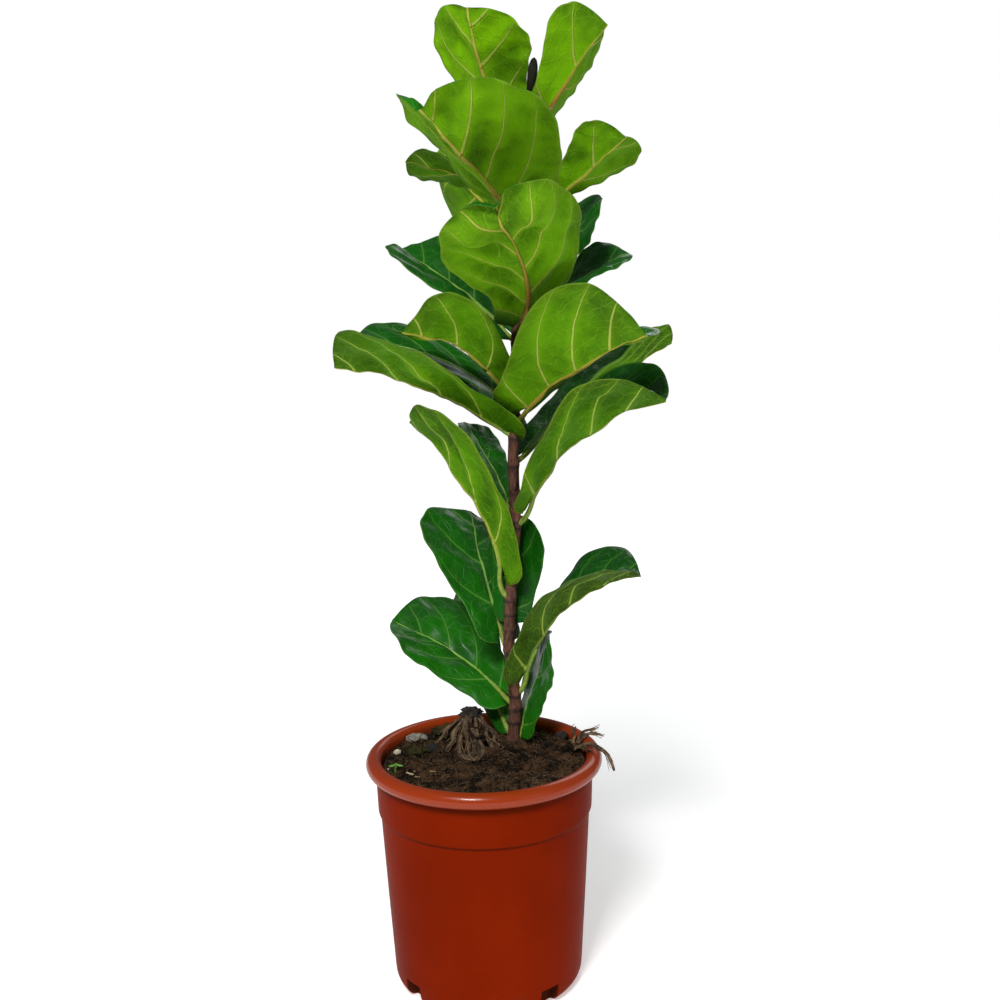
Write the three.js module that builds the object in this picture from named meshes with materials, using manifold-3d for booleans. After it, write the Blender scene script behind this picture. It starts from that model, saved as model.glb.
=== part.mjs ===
// A young fiddle leaf fig in a terracotta-coloured plastic nursery pot.
// Frame, in millimetres: the origin is the middle of the pot's foot, on the floor.
// +Z is up. The side with the two lowest pale leaf backs, the front, faces -Y. +X is to the right.
import * as THREE from "three";
import { mergeVertices } from "three/addons/utils/BufferGeometryUtils.js";
import Module from "manifold-3d";

const wasm = await Module();
wasm.setup();

// ---- driving dimensions ----------------------------------------------------------------------
const GAP = 0.35; // air left between pieces that touch
const FOOT_R = 73; // flat underside of the pot
const RIM_MID_R = 98; // the rolled rim is a ring of this radius ...
const RIM_TUBE_R = 7; // ... and this thickness
const RIM_MID_Z = 203;
const BAND_Z = 160; // step under the collar
const BAND_R = 95.3;
const BODY_TOP_R = 93.4;
const BODY_LOW_R = 84.8;
const INNER_TOP_R = 91.5;
const INNER_LOW_R = 82.3;
const NOTCHES = 4; // drain notches round the foot
const NOTCH_FIRST_DEG = -52;
const NOTCH_WIDTH = 20;
const NOTCH_HEIGHT = 19;
const POT_SIDES = 48;
const SOIL_SIDES = 40;
const SOIL_EDGE_Z = 199.5;
const STEM_SIDES = 10;
const BLADE_HALF_THICK = 0.5;
const PETIOLE_R = 2.1;

// ---- general helpers -------------------------------------------------------------------------
const rad = (degrees) => (degrees * Math.PI) / 180;
const vec = (x, y, z) => new THREE.Vector3(x, y, z);

// Reads a value from a table of [place, value] rows, with straight lines between the rows.
function readTable(table, place, column = 1) {
  if (place <= table[0][0]) return table[0][column];
  for (let i = 1; i < table.length; i += 1) {
    if (place <= table[i][0]) {
      const share = (place - table[i - 1][0]) / (table[i][0] - table[i - 1][0]);
      return table[i - 1][column] + share * (table[i][column] - table[i - 1][column]);
    }
  }
  return table[table.length - 1][column];
}

// The closed solid that a three.js geometry bounds, ready to be joined and cut.
function solidOf(geometry) {
  const bare = geometry.clone();
  bare.deleteAttribute("normal");
  bare.deleteAttribute("uv");
  const merged = mergeVertices(bare, 1e-4);
  const vertProperties = merged.getAttribute("position").array;
  const triVerts = new Uint32Array(merged.getIndex().array);
  return new wasm.Manifold(new wasm.Mesh({ numProp: 3, vertProperties, triVerts }));
}

// One closed body from rings of points that all run the same way round, counter-clockwise seen from
// the far end, with a point closing each end.
function solidFromRings(rings, first, last) {
  const count = rings[0].length;
  const points = [first, ...rings.flat(), last];
  const faces = [];
  const at = (ring, k) => 1 + ring * count + (k % count);
  for (let k = 0; k < count; k += 1) {
    faces.push(0, at(0, k + 1), at(0, k));
    faces.push(points.length - 1, at(rings.length - 1, k), at(rings.length - 1, k + 1));
  }
  for (let ring = 0; ring + 1 < rings.length; ring += 1) {
    for (let k = 0; k < count; k += 1) {
      faces.push(at(ring, k), at(ring, k + 1), at(ring + 1, k + 1));
      faces.push(at(ring, k), at(ring + 1, k + 1), at(ring + 1, k));
    }
  }
  const geometry = new THREE.BufferGeometry().setFromPoints(points);
  geometry.setIndex(faces);
  return solidOf(geometry);
}

// A round bar along a smooth curve through the given points; radius is a function of the share
// of the way along it.
function bar(through, radius, steps, sides, extra = 0) {
  const curve = new THREE.CatmullRomCurve3(through);
  const rings = [];
  let side = vec(0.31, 0.92, 0.24);
  for (let i = 0; i <= steps; i += 1) {
    const t = i / steps;
    const middle = curve.getPoint(t);
    const along = curve.getTangent(t).normalize();
    side = side.clone().addScaledVector(along, -side.dot(along)).normalize();
    const other = along.clone().cross(side);
    const ring = [];
    for (let k = 0; k < sides; k += 1) {
      const turn = (2 * Math.PI * k) / sides;
      const reach = radius(t) + extra;
      const point = middle.clone().addScaledVector(side, reach * Math.cos(turn));
      ring.push(point.addScaledVector(other, reach * Math.sin(turn)));
    }
    rings.push(ring);
  }
  const startOut = curve.getTangent(0).normalize().multiplyScalar(-0.5 * radius(0) - extra);
  const endOut = curve.getTangent(1).normalize().multiplyScalar(0.5 * radius(1) + extra);
  return solidFromRings(rings, curve.getPoint(0).add(startOut), curve.getPoint(1).add(endOut));
}

// A lumpy ball, for stones and bits of bark.
function lump(centre, size, bumps, phase, extra = 0) {
  const rows = 6;
  const sides = 10;
  const rings = [];
  for (let i = 1; i < rows; i += 1) {
    const tilt = (Math.PI * i) / rows - Math.PI / 2;
    const ring = [];
    for (let k = 0; k < sides; k += 1) {
      const turn = (2 * Math.PI * k) / sides;
      const swell = 1 + bumps * Math.sin(3 * turn + phase) * Math.cos(2 * tilt + phase);
      const x = (size[0] * swell + extra) * Math.cos(tilt) * Math.cos(turn);
      const y = (size[1] * swell + extra) * Math.cos(tilt) * Math.sin(turn);
      ring.push(vec(centre[0] + x, centre[1] + y, centre[2] + (size[2] + extra) * Math.sin(tilt)));
    }
    rings.push(ring);
  }
  const low = vec(centre[0], centre[1], centre[2] - size[2] - extra);
  const high = vec(centre[0], centre[1], centre[2] + size[2] + extra);
  return solidFromRings(rings, low, high);
}

const joined = (bodies) => bodies.reduce((whole, body) => whole.add(body));

// ---- the pot ---------------------------------------------------------------------------------
function makePot() {
  const profile = [
    [0, 0],
    [FOOT_R, 0],
    [77.5, 1],
    [81.3, 3.6],
    [83.8, 7.5],
    [BODY_LOW_R, 12],
    [89, BAND_Z / 2],
    [BODY_TOP_R, BAND_Z - 1.5],
    [BAND_R, BAND_Z + 0.5],
    [96.6, 192],
  ];
  for (let degrees = -75; degrees <= 165; degrees += 30) {
    const out = RIM_TUBE_R * Math.cos(rad(degrees));
    const rise = RIM_TUBE_R * Math.sin(rad(degrees));
    profile.push([RIM_MID_R + out, RIM_MID_Z + rise]);
  }
  profile.push([INNER_TOP_R, 199], [INNER_LOW_R, 31], [79, 25], [70, 22], [60, 4], [0, 4]);
  const outline = profile.map(([r, z]) => new THREE.Vector2(r, z));
  let pot = solidOf(new THREE.LatheGeometry(outline, POT_SIDES).rotateX(Math.PI / 2));
  for (let i = 0; i < NOTCHES; i += 1) {
    const turn = NOTCH_FIRST_DEG + (360 / NOTCHES) * i;
    const block = new THREE.BoxGeometry(30, NOTCH_WIDTH, 2 * NOTCH_HEIGHT);
    block.translate(FOOT_R + 15, 0, 0);
    pot = pot.subtract(solidOf(block.rotateZ(rad(turn))));
  }
  return pot;
}

// ---- the stem --------------------------------------------------------------------------------
// Rows of [height, x, y]: the stem leans back a little low down and comes forward at the top.
const STEM_PATH = [
  [150, 24, 38],
  [188, 26, 37],
  [240, 30, 35],
  [270, 28, 34],
  [296, 25, 33],
  [330, 27, 31],
  [360, 29, 29],
  [405, 33, 27],
  [470, 32, 24],
  [560, 36, 20],
  [640, 41, 16],
  [720, 48, 12],
  [775, 52, 10],
];
const STEM_GIRTH = [
  [150, 5.6],
  [188, 5.6],
  [500, 4.6],
  [775, 3],
];
const stemAt = (z) => vec(readTable(STEM_PATH, z, 1), readTable(STEM_PATH, z, 2), z);

function makeStem(extra) {
  const rings = [];
  const bottom = STEM_PATH[0][0] - extra;
  const top = STEM_PATH[STEM_PATH.length - 1][0] + extra;
  const steps = 34;
  for (let i = 0; i <= steps; i += 1) {
    const z = bottom + ((top - bottom) * i) / steps;
    const middle = stemAt(z);
    const ring = [];
    for (let k = 0; k < STEM_SIDES; k += 1) {
      const turn = (2 * Math.PI * k) / STEM_SIDES;
      const swell = 1 + 0.05 * Math.sin(z / 6 + 2 * turn);
      const reach = readTable(STEM_GIRTH, z) * swell + extra;
      ring.push(vec(middle.x + reach * Math.cos(turn), middle.y + reach * Math.sin(turn), z));
    }
    rings.push(ring);
  }
  return solidFromRings(rings, stemAt(bottom).setZ(bottom - 2), stemAt(top).setZ(top + 0.6));
}

// ---- the leaves ------------------------------------------------------------------------------
// Half width of a blade, as a share of the widest, along the midrib: an eared narrow foot, a
// waist, the broad end and a blunt tip.
const OUTLINE = [
  [0, 0.12],
  [0.04, 0.34],
  [0.13, 0.46],
  [0.3, 0.6],
  [0.5, 0.84],
  [0.68, 1],
  [0.83, 0.93],
  [0.94, 0.62],
  [1, 0],
];

// Slope of the outline at one of its rows, weighted for rows that are not evenly apart.
function outlineSlope(i) {
  const last = OUTLINE.length - 1;
  const rise = (a) => (OUTLINE[a + 1][1] - OUTLINE[a][1]) / (OUTLINE[a + 1][0] - OUTLINE[a][0]);
  if (i === 0) return rise(0);
  if (i === last) return rise(last - 1);
  const before = OUTLINE[i][0] - OUTLINE[i - 1][0];
  const after = OUTLINE[i + 1][0] - OUTLINE[i][0];
  return (rise(i - 1) * after + rise(i) * before) / (before + after);
}

function halfWidth(u) {
  let i = 0;
  while (i < OUTLINE.length - 2 && u > OUTLINE[i + 1][0]) i += 1;
  const gap = OUTLINE[i + 1][0] - OUTLINE[i][0];
  const t = (u - OUTLINE[i][0]) / gap;
  const a = (2 * t ** 3 - 3 * t ** 2 + 1) * OUTLINE[i][1];
  const b = (t ** 3 - 2 * t ** 2 + t) * gap * outlineSlope(i);
  const c = (3 * t ** 2 - 2 * t ** 3) * OUTLINE[i + 1][1];
  const d = (t ** 3 - t ** 2) * gap * outlineSlope(i + 1);
  return Math.max(a + b + c + d, 0);
}

const heading = (azimuth, rise) =>
  vec(Math.cos(rise) * Math.cos(azimuth), Math.cos(rise) * Math.sin(azimuth), Math.sin(rise));

// The midrib of a leaf as a chain of short steps, each with its own along, side and up directions.
// The midrib starts at angle rise above level and ends at angle tip, turning by sweep as it goes.
function midrib(leaf) {
  const steps = 60;
  const azimuth = rad(leaf.az);
  const stem = stemAt(leaf.z);
  const start = stem.clone().addScaledVector(heading(azimuth, 0), readTable(STEM_GIRTH, leaf.z));
  const foot = start.clone().addScaledVector(heading(azimuth, rad(leaf.rise)), leaf.petiole);
  const chain = [];
  let place = foot.clone();
  for (let i = 0; i <= steps; i += 1) {
    const s = i / steps;
    const angle = rad(leaf.rise + (leaf.tip - leaf.rise) * s ** leaf.late);
    const turn = rad(leaf.az + leaf.sweep * s);
    const along = heading(turn, angle);
    if (i > 0) {
      const mean = along.clone().add(chain[i - 1].along).multiplyScalar(leaf.length / steps / 2);
      place = place.clone().add(mean);
    }
    const level = vec(-Math.sin(turn), Math.cos(turn), 0);
    const above = along.clone().cross(level);
    const roll = rad(leaf.roll + leaf.twist * s);
    const side = level.clone().multiplyScalar(Math.cos(roll)).addScaledVector(above, Math.sin(roll));
    const up = above.clone().multiplyScalar(Math.cos(roll)).addScaledVector(level, -Math.sin(roll));
    chain.push({ place, along, side, up });
  }
  return { start, foot, chain };
}

// A place on the middle surface of the blade: u runs from foot to tip, t from the right edge (-1)
// to the left edge (+1). Each half is folded up by an angle and then curls further towards its edge.
function bladePoint(leaf, chain, u, t) {
  const half = leaf.width / 2;
  const across = Math.abs(t) * halfWidth(u) * half;
  const s = u - 0.1 * (1 - u) ** 3 * t * t;
  const exact = Math.min(Math.max(s, 0), 1) * (chain.length - 1);
  const low = Math.min(Math.floor(exact), chain.length - 2);
  const share = exact - low;
  const blend = (key) => chain[low][key].clone().lerp(chain[low + 1][key], share);
  const place = blend("place").addScaledVector(chain[0].along, Math.min(s, 0) * leaf.length);
  const side = blend("side");
  const up = blend("up");
  const sign = t < 0 ? -1 : 1;
  const fold = rad(sign > 0 ? leaf.foldLeft : leaf.foldRight);
  const curl = rad(sign > 0 ? leaf.curlLeft : leaf.curlRight) / half;
  const angle = fold + curl * across;
  const flat = Math.abs(curl) < 1e-9;
  const out = flat ? Math.cos(fold) * across : (Math.sin(angle) - Math.sin(fold)) / curl;
  const lift = flat ? Math.sin(fold) * across : (Math.cos(fold) - Math.cos(angle)) / curl;
  place.addScaledVector(side, sign * out).addScaledVector(up, lift);
  const bend = t === 0 ? 0 : angle;
  const normal = up.multiplyScalar(Math.cos(bend)).addScaledVector(side, -sign * Math.sin(bend));
  return { place, normal: normal.normalize() };
}

// One leaf: stalk, blade and raised midrib in one closed body.
function makeLeaf(leaf, stemRoom) {
  const { start, foot, chain } = midrib(leaf);
  const columns = [1, 0.5, 0, -0.5, -1];
  const rings = [];
  const outward = heading(rad(leaf.az), 0);
  const from = start.clone().addScaledVector(outward, -3);
  const easy = heading(rad(leaf.az), rad(leaf.rise * 0.5));
  const bendAt = start.clone().addScaledVector(easy, leaf.petiole * 0.35);
  const stalk = new THREE.QuadraticBezierCurve3(from, bendAt, foot);
  for (const t of [0, 0.35, 0.7, 0.93]) {
    const middle = stalk.getPoint(t);
    const along = stalk.getTangent(t).normalize();
    const side = chain[0].side.clone().addScaledVector(along, -chain[0].side.dot(along)).normalize();
    const up = along.clone().cross(side);
    const ring = [];
    for (let k = 0; k < 2 * columns.length; k += 1) {
      const turn = ((k + 0.5) * Math.PI) / columns.length;
      const reach = PETIOLE_R * (1.15 - 0.2 * t);
      const point = middle.clone().addScaledVector(side, reach * Math.cos(turn));
      ring.push(point.addScaledVector(up, reach * Math.sin(turn)));
    }
    rings.push(ring);
  }
  const rows = 11;
  for (let i = 0; i < rows; i += 1) {
    const lap = (Math.PI * i) / rows;
    const u = (1 - Math.cos(lap)) / 4 + lap / (2 * Math.PI);
    const rib = 1.6 * (1 - u) + 0.2;
    const points = columns.map((t) => bladePoint(leaf, chain, u, t));
    const top = points.map((p) => p.place.clone().addScaledVector(p.normal, BLADE_HALF_THICK));
    const under = points.map((p, k) => {
      const depth = BLADE_HALF_THICK + (columns[k] === 0 ? rib : 0);
      return p.place.clone().addScaledVector(p.normal, -depth);
    });
    rings.push([...top, ...under.reverse()]);
  }
  const tip = bladePoint(leaf, chain, 1, 0).place;
  return solidFromRings(rings, stalk.getPoint(0), tip).subtract(stemRoom);
}

// Each leaf: height of its node on the stem, heading round the stem (0 is +X, 90 is +Y), angle of
// the midrib above level at its foot and tip, turn of the midrib sideways, stalk length, blade
// length and width, roll about the midrib at the foot and further twist to the tip, fold of each
// half up from the midrib, further curl of each half, and how late the midrib starts to arch.
const LEAF_KEYS = [
  "z",
  "az",
  "rise",
  "tip",
  "sweep",
  "petiole",
  "length",
  "width",
  "roll",
  "twist",
  "foldLeft",
  "foldRight",
  "curlLeft",
  "curlRight",
  "late",
];
const LEAF_ROWS = [
  [207, 12, 75, 71, -26, 12, 91, 84, 4, 1, -12, -15, 33, 3, 1.3],
  [209, 120, 44, 41, -14, 21, 143, 60, -39, -11, -15, -5, -30, -10, 1.2],
  [239, 129, 26, 22, 40, 19, 135, 105, -34, 35, 8, 32, 6, -10, 1.1],
  [252, -11, 72, 5, 4, 22, 146, 107, -33, 29, 41, 21, -5, -14, 1.1],
  [293, 120, 58, 36, -22, 21, 126, 118, 7, 19, -6, -8, 16, -19, 1.7],
  [314, 67, 82, 79, -10, 13, 89, 80, 5, -37, -7, -8, 4, 22, 1.2],
  [343, 184, 83, 38, -40, 30, 158, 119, 9, 3, 27, 9, 24, -13, 0.7],
  [410, -25, 63, 12, -4, 30, 153, 132, 16, -18, 10, 21, 61, 19, 0.8],
  [415, 135, 66, 43, 4, 13, 87, 58, 15, -3, 10, 12, 2, -1, 1.1],
  [465, 45, 28, 27, -21, 29, 189, 109, -16, 10, 24, 32, 3, -2, 1.1],
  [490, 177, 37, 5, -5, 7, 161, 152, -7, 7, 43, 36, -26, -40, 1.0],
  [500, -63, 33, 21, 34, 26, 144, 142, 5, -25, 18, 38, 24, -8, 0.6],
  [510, 163, 48, 6, 19, 22, 134, 69, -14, -3, 5, 16, -7, 0, 0.6],
  [521, 222, 46, 5, -13, 20, 110, 95, -7, 25, 34, 14, -3, 24, 1.0],
  [572, 142, 43, 23, -7, 18, 140, 79, -27, 33, 19, 33, -17, 16, 0.6],
  [580, 278, 19, 33, -40, 30, 190, 107, -2, 18, 10, 11, 20, -40, 0.9],
  [585, 5, 36, 18, 3, 30, 83, 71, 4, 4, 10, 1, 32, -2, 1.9],
  [605, 8, 51, 48, -40, 28, 82, 71, 29, -8, 7, -11, 18, 1, 1.3],
  [651, 141, 49, 29, -23, 24, 116, 112, 53, 7, 51, -15, 22, 17, 0.6],
  [663, 261, 10, 37, -40, 12, 190, 152, 2, 10, 31, 38, -39, 6, 0.9],
  [675, -16, 31, 38, -19, 30, 78, 74, -17, 5, 9, 24, -16, 2, 0.6],
  [683, 189, 32, 5, -1, 17, 87, 72, 9, 8, 4, -4, -18, 15, 1.0],
  [727, 220, 49, 62, 40, 30, 99, 102, 23, -60, 25, 16, -37, -8, 1.2],
  [740, 6, 56, 51, -3, 23, 88, 88, -35, 16, 7, 28, 10, 30, 1.2],
];
const LEAVES = LEAF_ROWS.map((row, i) => {
  const leaf = { name: `leaf_${String(i + 1).padStart(2, "0")}` };
  LEAF_KEYS.forEach((key, k) => {
    leaf[key] = row[k];
  });
  return leaf;
});

// Papery brown husks that once wrapped the buds and still stand at some nodes.
const HUSKS = [
  { name: "husk_low_right", z: 250, az: -125, length: 12, width: 6 },
  { name: "husk_low_left", z: 362, az: -60, length: 13, width: 5 },
  { name: "husk_middle_right", z: 441, az: -75, length: 12, width: 5 },
];

function makeHusk(husk, stemRoom) {
  const outward = heading(rad(husk.az), 0);
  const base = stemAt(husk.z).addScaledVector(outward, readTable(STEM_GIRTH, husk.z) - 0.5);
  const through = [
    base,
    base.clone().addScaledVector(outward, 2.4).setZ(husk.z + husk.length * 0.4),
    base.clone().addScaledVector(outward, 5.2).setZ(husk.z + husk.length),
  ];
  return bar(through, (t) => 0.3 * husk.width * (1 - t) ** 0.7 + 0.35, 5, 8).subtract(stemRoom);
}

// The pointed brown sheath round the newest bud, at the very top of the stem.
function makeBud(stemRoom) {
  const through = [vec(52.2, 9.9, 773), vec(53.6, 9.4, 787), vec(56, 8.4, 806)];
  const girth = (t) => 0.6 + 4.4 * Math.sin(Math.PI * (0.28 + 0.72 * t)) ** 0.8 * (1 - 0.35 * t);
  return bar(through, girth, 8, 10).subtract(stemRoom);
}

// ---- the soil and what lies in it --------------------------------------------------------------
// Height of the soil: a low mound round the stem, uneven, lowest along the wall of the pot.
function soilTop(x, y) {
  const away = Math.hypot(x - 20, y - 30);
  const mound = 4.5 * Math.exp(-((away / 42) ** 2));
  const uneven = 0.9 * Math.sin(x / 11 + 1) * Math.cos(y / 9) + 0.7 * Math.sin((x + 2 * y) / 17);
  const edge = Math.max(0, Math.hypot(x, y) - 78) / 12;
  return SOIL_EDGE_Z + mound + uneven * (1 - edge);
}

function makeSoil(rooms) {
  const inner = INNER_LOW_R - GAP - 0.4;
  const outer = INNER_TOP_R - GAP - 0.6;
  const profile = [
    [59.5, 4.6],
    [69.5, 22.6],
    [78.5, 25.7],
    [inner, 31.8],
    [outer, SOIL_EDGE_Z - 2],
    [outer - 1.5, null],
    [82, null],
    [70, null],
    [56, null],
    [42, null],
    [28, null],
    [13, null],
  ];
  const rings = profile.map(([r, z]) => {
    const ring = [];
    for (let k = 0; k < SOIL_SIDES; k += 1) {
      const turn = (2 * Math.PI * k) / SOIL_SIDES;
      const x = r * Math.cos(turn);
      const y = r * Math.sin(turn);
      ring.push(vec(x, y, z === null ? soilTop(x, y) : z));
    }
    return ring;
  });
  const whole = solidFromRings(rings, vec(0, 0, 4.6), vec(0, 0, soilTop(0, 0)));
  return rooms.reduce((soil, room) => soil.subtract(room), whole);
}

// A tuft of dried roots that stands up behind the stem on the left, round a black knot of old bark.
function makeRootTuft(extra) {
  const crown = vec(-11, 47, 228);
  const feet = [
    [-33, 34],
    [-26, 16],
    [-14, 2],
    [-3, 0],
    [5, 10],
    [9, 26],
    [-38, 52],
    [1, 58],
    [-18, 66],
  ];
  const roots = feet.map(([x, y], i) => {
    const foot = vec(x, y, soilTop(x, y) - 4);
    const knee = crown.clone().lerp(foot, 0.55);
    knee.z += 5 + 3 * Math.sin(2 * i);
    knee.x += 2 * Math.cos(3 * i);
    return bar([crown, knee, foot], (t) => 2.6 - 1.1 * t, 5, 6, extra);
  });
  return joined([lump([-11, 48, 227], [7, 6, 6.5], 0.12, 1, extra), ...roots]);
}

// Roots and twigs that come up at the right edge and hang over the rim. Each row is a path, its
// radius at the thick end and how much thinner it gets.
const SPRIG_KNOT = { centre: [83, 12, 204], size: [7, 9, 4.5] };
const SPRIG_ROOTS = [
  [[82, 10, 204], [94, -2, 213.5], [103, -18, 214], [108.5, -30, 211], [112, -38, 202], 1.9],
  [[82, 14, 204], [93, 20, 213], [101, 20, 214.5], [109, 17, 213], 1.6],
  [[83, 16, 204], [90, 27, 213], [99, 29, 215], [106, 30, 217], 1.5],
  [[80, 14, 204], [82, 22, 207], [80, 30, 205], 1.9],
];

function makeRootSprig(extra) {
  const knot = lump(SPRIG_KNOT.centre, SPRIG_KNOT.size, 0.12, 2, extra);
  const roots = SPRIG_ROOTS.map((row) => {
    const path = row.slice(0, -1).map((p) => vec(...p));
    const thick = row[row.length - 1];
    return bar(path, (t) => thick - 0.8 * t, 10, 6, extra);
  });
  return joined([knot, ...roots]);
}

const onSoil = (x, y, lift) => [x, y, soilTop(x, y) + lift];
const makeStub = (extra) => lump(onSoil(72, 42, 2.5), [5, 4, 5], 0.16, 0.5, extra);
const makeGreyStone = (extra) => lump(onSoil(-63, 52, 2), [8, 5.5, 5], 0.1, 3, extra);
const makePebble = (extra) => lump(onSoil(-79, 24, 1.5), [4, 3.2, 3], 0.06, 2, extra);
const makeBarkChip = (extra) => lump(onSoil(-46, 30, 1), [9, 4.5, 3.2], 0.14, 4, extra);

function makeStraw(extra) {
  const through = [vec(-68, -24, 0), vec(-60, -29, 0), vec(-50, -30, 0), vec(-42, -34, 0)];
  through.forEach((p) => p.setZ(soilTop(p.x, p.y) + 0.8));
  return bar(through, () => 0.9, 8, 6, extra);
}

// A seedling weed: two tiny round leaves on a thread of a stem.
function makeSprout(extra) {
  const foot = vec(-78, -22, soilTop(-78, -22) - 3);
  const through = [foot, foot.clone().setZ(foot.z + 5), vec(-77, -23, foot.z + 10)];
  const stalk = bar(through, () => 0.8, 4, 6, extra);
  if (extra > 0) return stalk;
  const left = lump([-80, -23, foot.z + 10.4], [3.6, 2.2, 0.8], 0, 0);
  const right = lump([-74.4, -23.5, foot.z + 10.8], [3.4, 2.2, 0.8], 0, 0);
  return joined([stalk, left, right]);
}

// ---- putting it together -----------------------------------------------------------------------
const COLOURS = {
  pot: ["#a33a12", 0.45],
  soil: ["#2b1d14", 0.95],
  stem: ["#4a2a1c", 0.85],
  leaf: ["#3f7d22", 0.45],
  husk: ["#3a2416", 0.8],
  root: ["#6b4a30", 0.9],
  bark: ["#1d1512", 0.95],
  stone: ["#77736a", 0.85],
  pebble: ["#c9bfa8", 0.8],
  straw: ["#b39a63", 0.85],
  sprout: ["#6fae3a", 0.6],
};

// A named mesh whose own origin lies at the given place on the object.
function piece(name, body, colour, origin = vec(0, 0, 0)) {
  const mesh = body.getMesh();
  const geometry = new THREE.BufferGeometry();
  const places = new THREE.BufferAttribute(new Float32Array(mesh.vertProperties), 3);
  geometry.setAttribute("position", places);
  geometry.setIndex(new THREE.BufferAttribute(new Uint32Array(mesh.triVerts), 1));
  geometry.translate(-origin.x, -origin.y, -origin.z);
  geometry.computeVertexNormals();
  const [color, roughness] = COLOURS[colour];
  const material = new THREE.MeshStandardMaterial({ color, roughness, metalness: 0 });
  const made = new THREE.Mesh(geometry, material);
  made.name = name;
  made.position.copy(origin);
  return made;
}

const LITTER = [
  ["root_tuft", makeRootTuft, "root"],
  ["root_sprig", makeRootSprig, "root"],
  ["root_stub", makeStub, "bark"],
  ["grey_stone", makeGreyStone, "stone"],
  ["pale_pebble", makePebble, "pebble"],
  ["bark_chip", makeBarkChip, "bark"],
  ["straw", makeStraw, "straw"],
  ["sprout", makeSprout, "sprout"],
];

const stemRoom = makeStem(GAP);
const litterRooms = LITTER.map(([, make]) => make(GAP));

const potful = new THREE.Group();
potful.add(piece("pot", makePot(), "pot"));
potful.add(piece("soil", makeSoil([stemRoom, ...litterRooms]), "soil"));
LITTER.forEach(([name, make, colour]) => potful.add(piece(name, make(0), colour)));

const tree = new THREE.Group();
tree.add(piece("stem", makeStem(0), "stem", stemAt(SOIL_EDGE_Z)));
tree.add(piece("bud_sheath", makeBud(stemRoom), "husk", stemAt(775)));
HUSKS.forEach((husk) => {
  tree.add(piece(husk.name, makeHusk(husk, stemRoom), "husk", stemAt(husk.z)));
});
LEAVES.forEach((leaf) => {
  tree.add(piece(leaf.name, makeLeaf(leaf, stemRoom), "leaf", stemAt(leaf.z)));
});

const plant = new THREE.Group();
plant.name = "potted_fiddle_leaf_fig";
plant.add(potful, tree);

export default plant;
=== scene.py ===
# %% [markdown]
# # A potted fiddle leaf fig
# This notebook dresses a plain model of a young fiddle leaf fig in its nursery pot. The model
# arrives as a fixed frame: each sub-part has its size and place. Here each gets its fine
# shape and its finish. We load the frame first, because every later piece takes its place from it.

# %% Load the frame
import math

import bpy
import bmesh
import numpy as np
from mathutils import Matrix, Vector, noise as lumps


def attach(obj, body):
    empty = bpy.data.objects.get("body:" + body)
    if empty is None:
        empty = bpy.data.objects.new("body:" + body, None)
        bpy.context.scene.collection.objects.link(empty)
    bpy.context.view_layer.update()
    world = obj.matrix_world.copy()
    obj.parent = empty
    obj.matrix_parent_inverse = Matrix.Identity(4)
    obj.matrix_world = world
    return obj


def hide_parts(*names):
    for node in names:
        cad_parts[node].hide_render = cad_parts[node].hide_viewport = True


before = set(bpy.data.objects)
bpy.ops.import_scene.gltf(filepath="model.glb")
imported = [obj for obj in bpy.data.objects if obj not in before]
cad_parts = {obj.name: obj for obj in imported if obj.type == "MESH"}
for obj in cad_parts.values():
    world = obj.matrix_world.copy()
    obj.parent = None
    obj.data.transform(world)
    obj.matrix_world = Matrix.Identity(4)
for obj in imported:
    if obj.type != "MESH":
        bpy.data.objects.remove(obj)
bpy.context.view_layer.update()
MM = 0.001


def add_object(name, data):
    """A new object of the scene that carries the given mesh, light or camera."""
    made = bpy.data.objects.new(name, data)
    bpy.context.scene.collection.objects.link(made)
    return made


print("CAD nodes:", len(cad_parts))

# %% [markdown]
# ## The camera and the light
# The viewer stands about a metre away, a little above the middle of the plant, and looks slightly
# down. A normal lens from close by makes the upper leaves loom, which long lenses would flatten.
# We build the camera's turn from its three directions, so that the small tilt is explicit.

# %% Camera
CAMERA_PLACE = Vector((0.0, -1.0, 0.588))
LOOK_DOWN, LOOK_RIGHT, TILT = math.radians(8.7), math.radians(1.1), math.radians(-1.25)

camera_data = bpy.data.cameras.new("view")
camera_data.sensor_width = 36
camera_data.lens = 42.16
camera = add_object("view", camera_data)
forward = Vector((math.sin(LOOK_RIGHT) * math.cos(LOOK_DOWN),
                  math.cos(LOOK_RIGHT) * math.cos(LOOK_DOWN),
                  -math.sin(LOOK_DOWN)))
level = Vector((math.cos(LOOK_RIGHT), -math.sin(LOOK_RIGHT), 0))
above = level.cross(forward)
right = math.cos(TILT) * level + math.sin(TILT) * above
up = math.cos(TILT) * above - math.sin(TILT) * level
turn = Matrix((right, up, -forward)).transposed().to_4x4()
camera.matrix_world = Matrix.Translation(CAMERA_PLACE) @ turn
bpy.context.scene.camera = camera
print("camera looks along", [round(c, 3) for c in forward])

# %% [markdown]
# Soft studio light: a panel high at the front left, a broad weak one at the right, another high
# behind the plant, a wide-angled sun from the front left above, and a pale world. Broad lights
# give soft-edged shadows, while the white world keeps the floor and backdrop plain.

# %% Lights, world and floor
def soft_panel(name, place, target, size, watts):
    """A square area light at place that faces target."""
    data = bpy.data.lights.new(name, "AREA")
    data.size = size
    data.energy = watts
    panel = add_object(name, data)
    panel.location = place
    aim = Vector(target) - Vector(place)
    panel.rotation_euler = aim.to_track_quat("-Z", "Y").to_euler()


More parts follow.
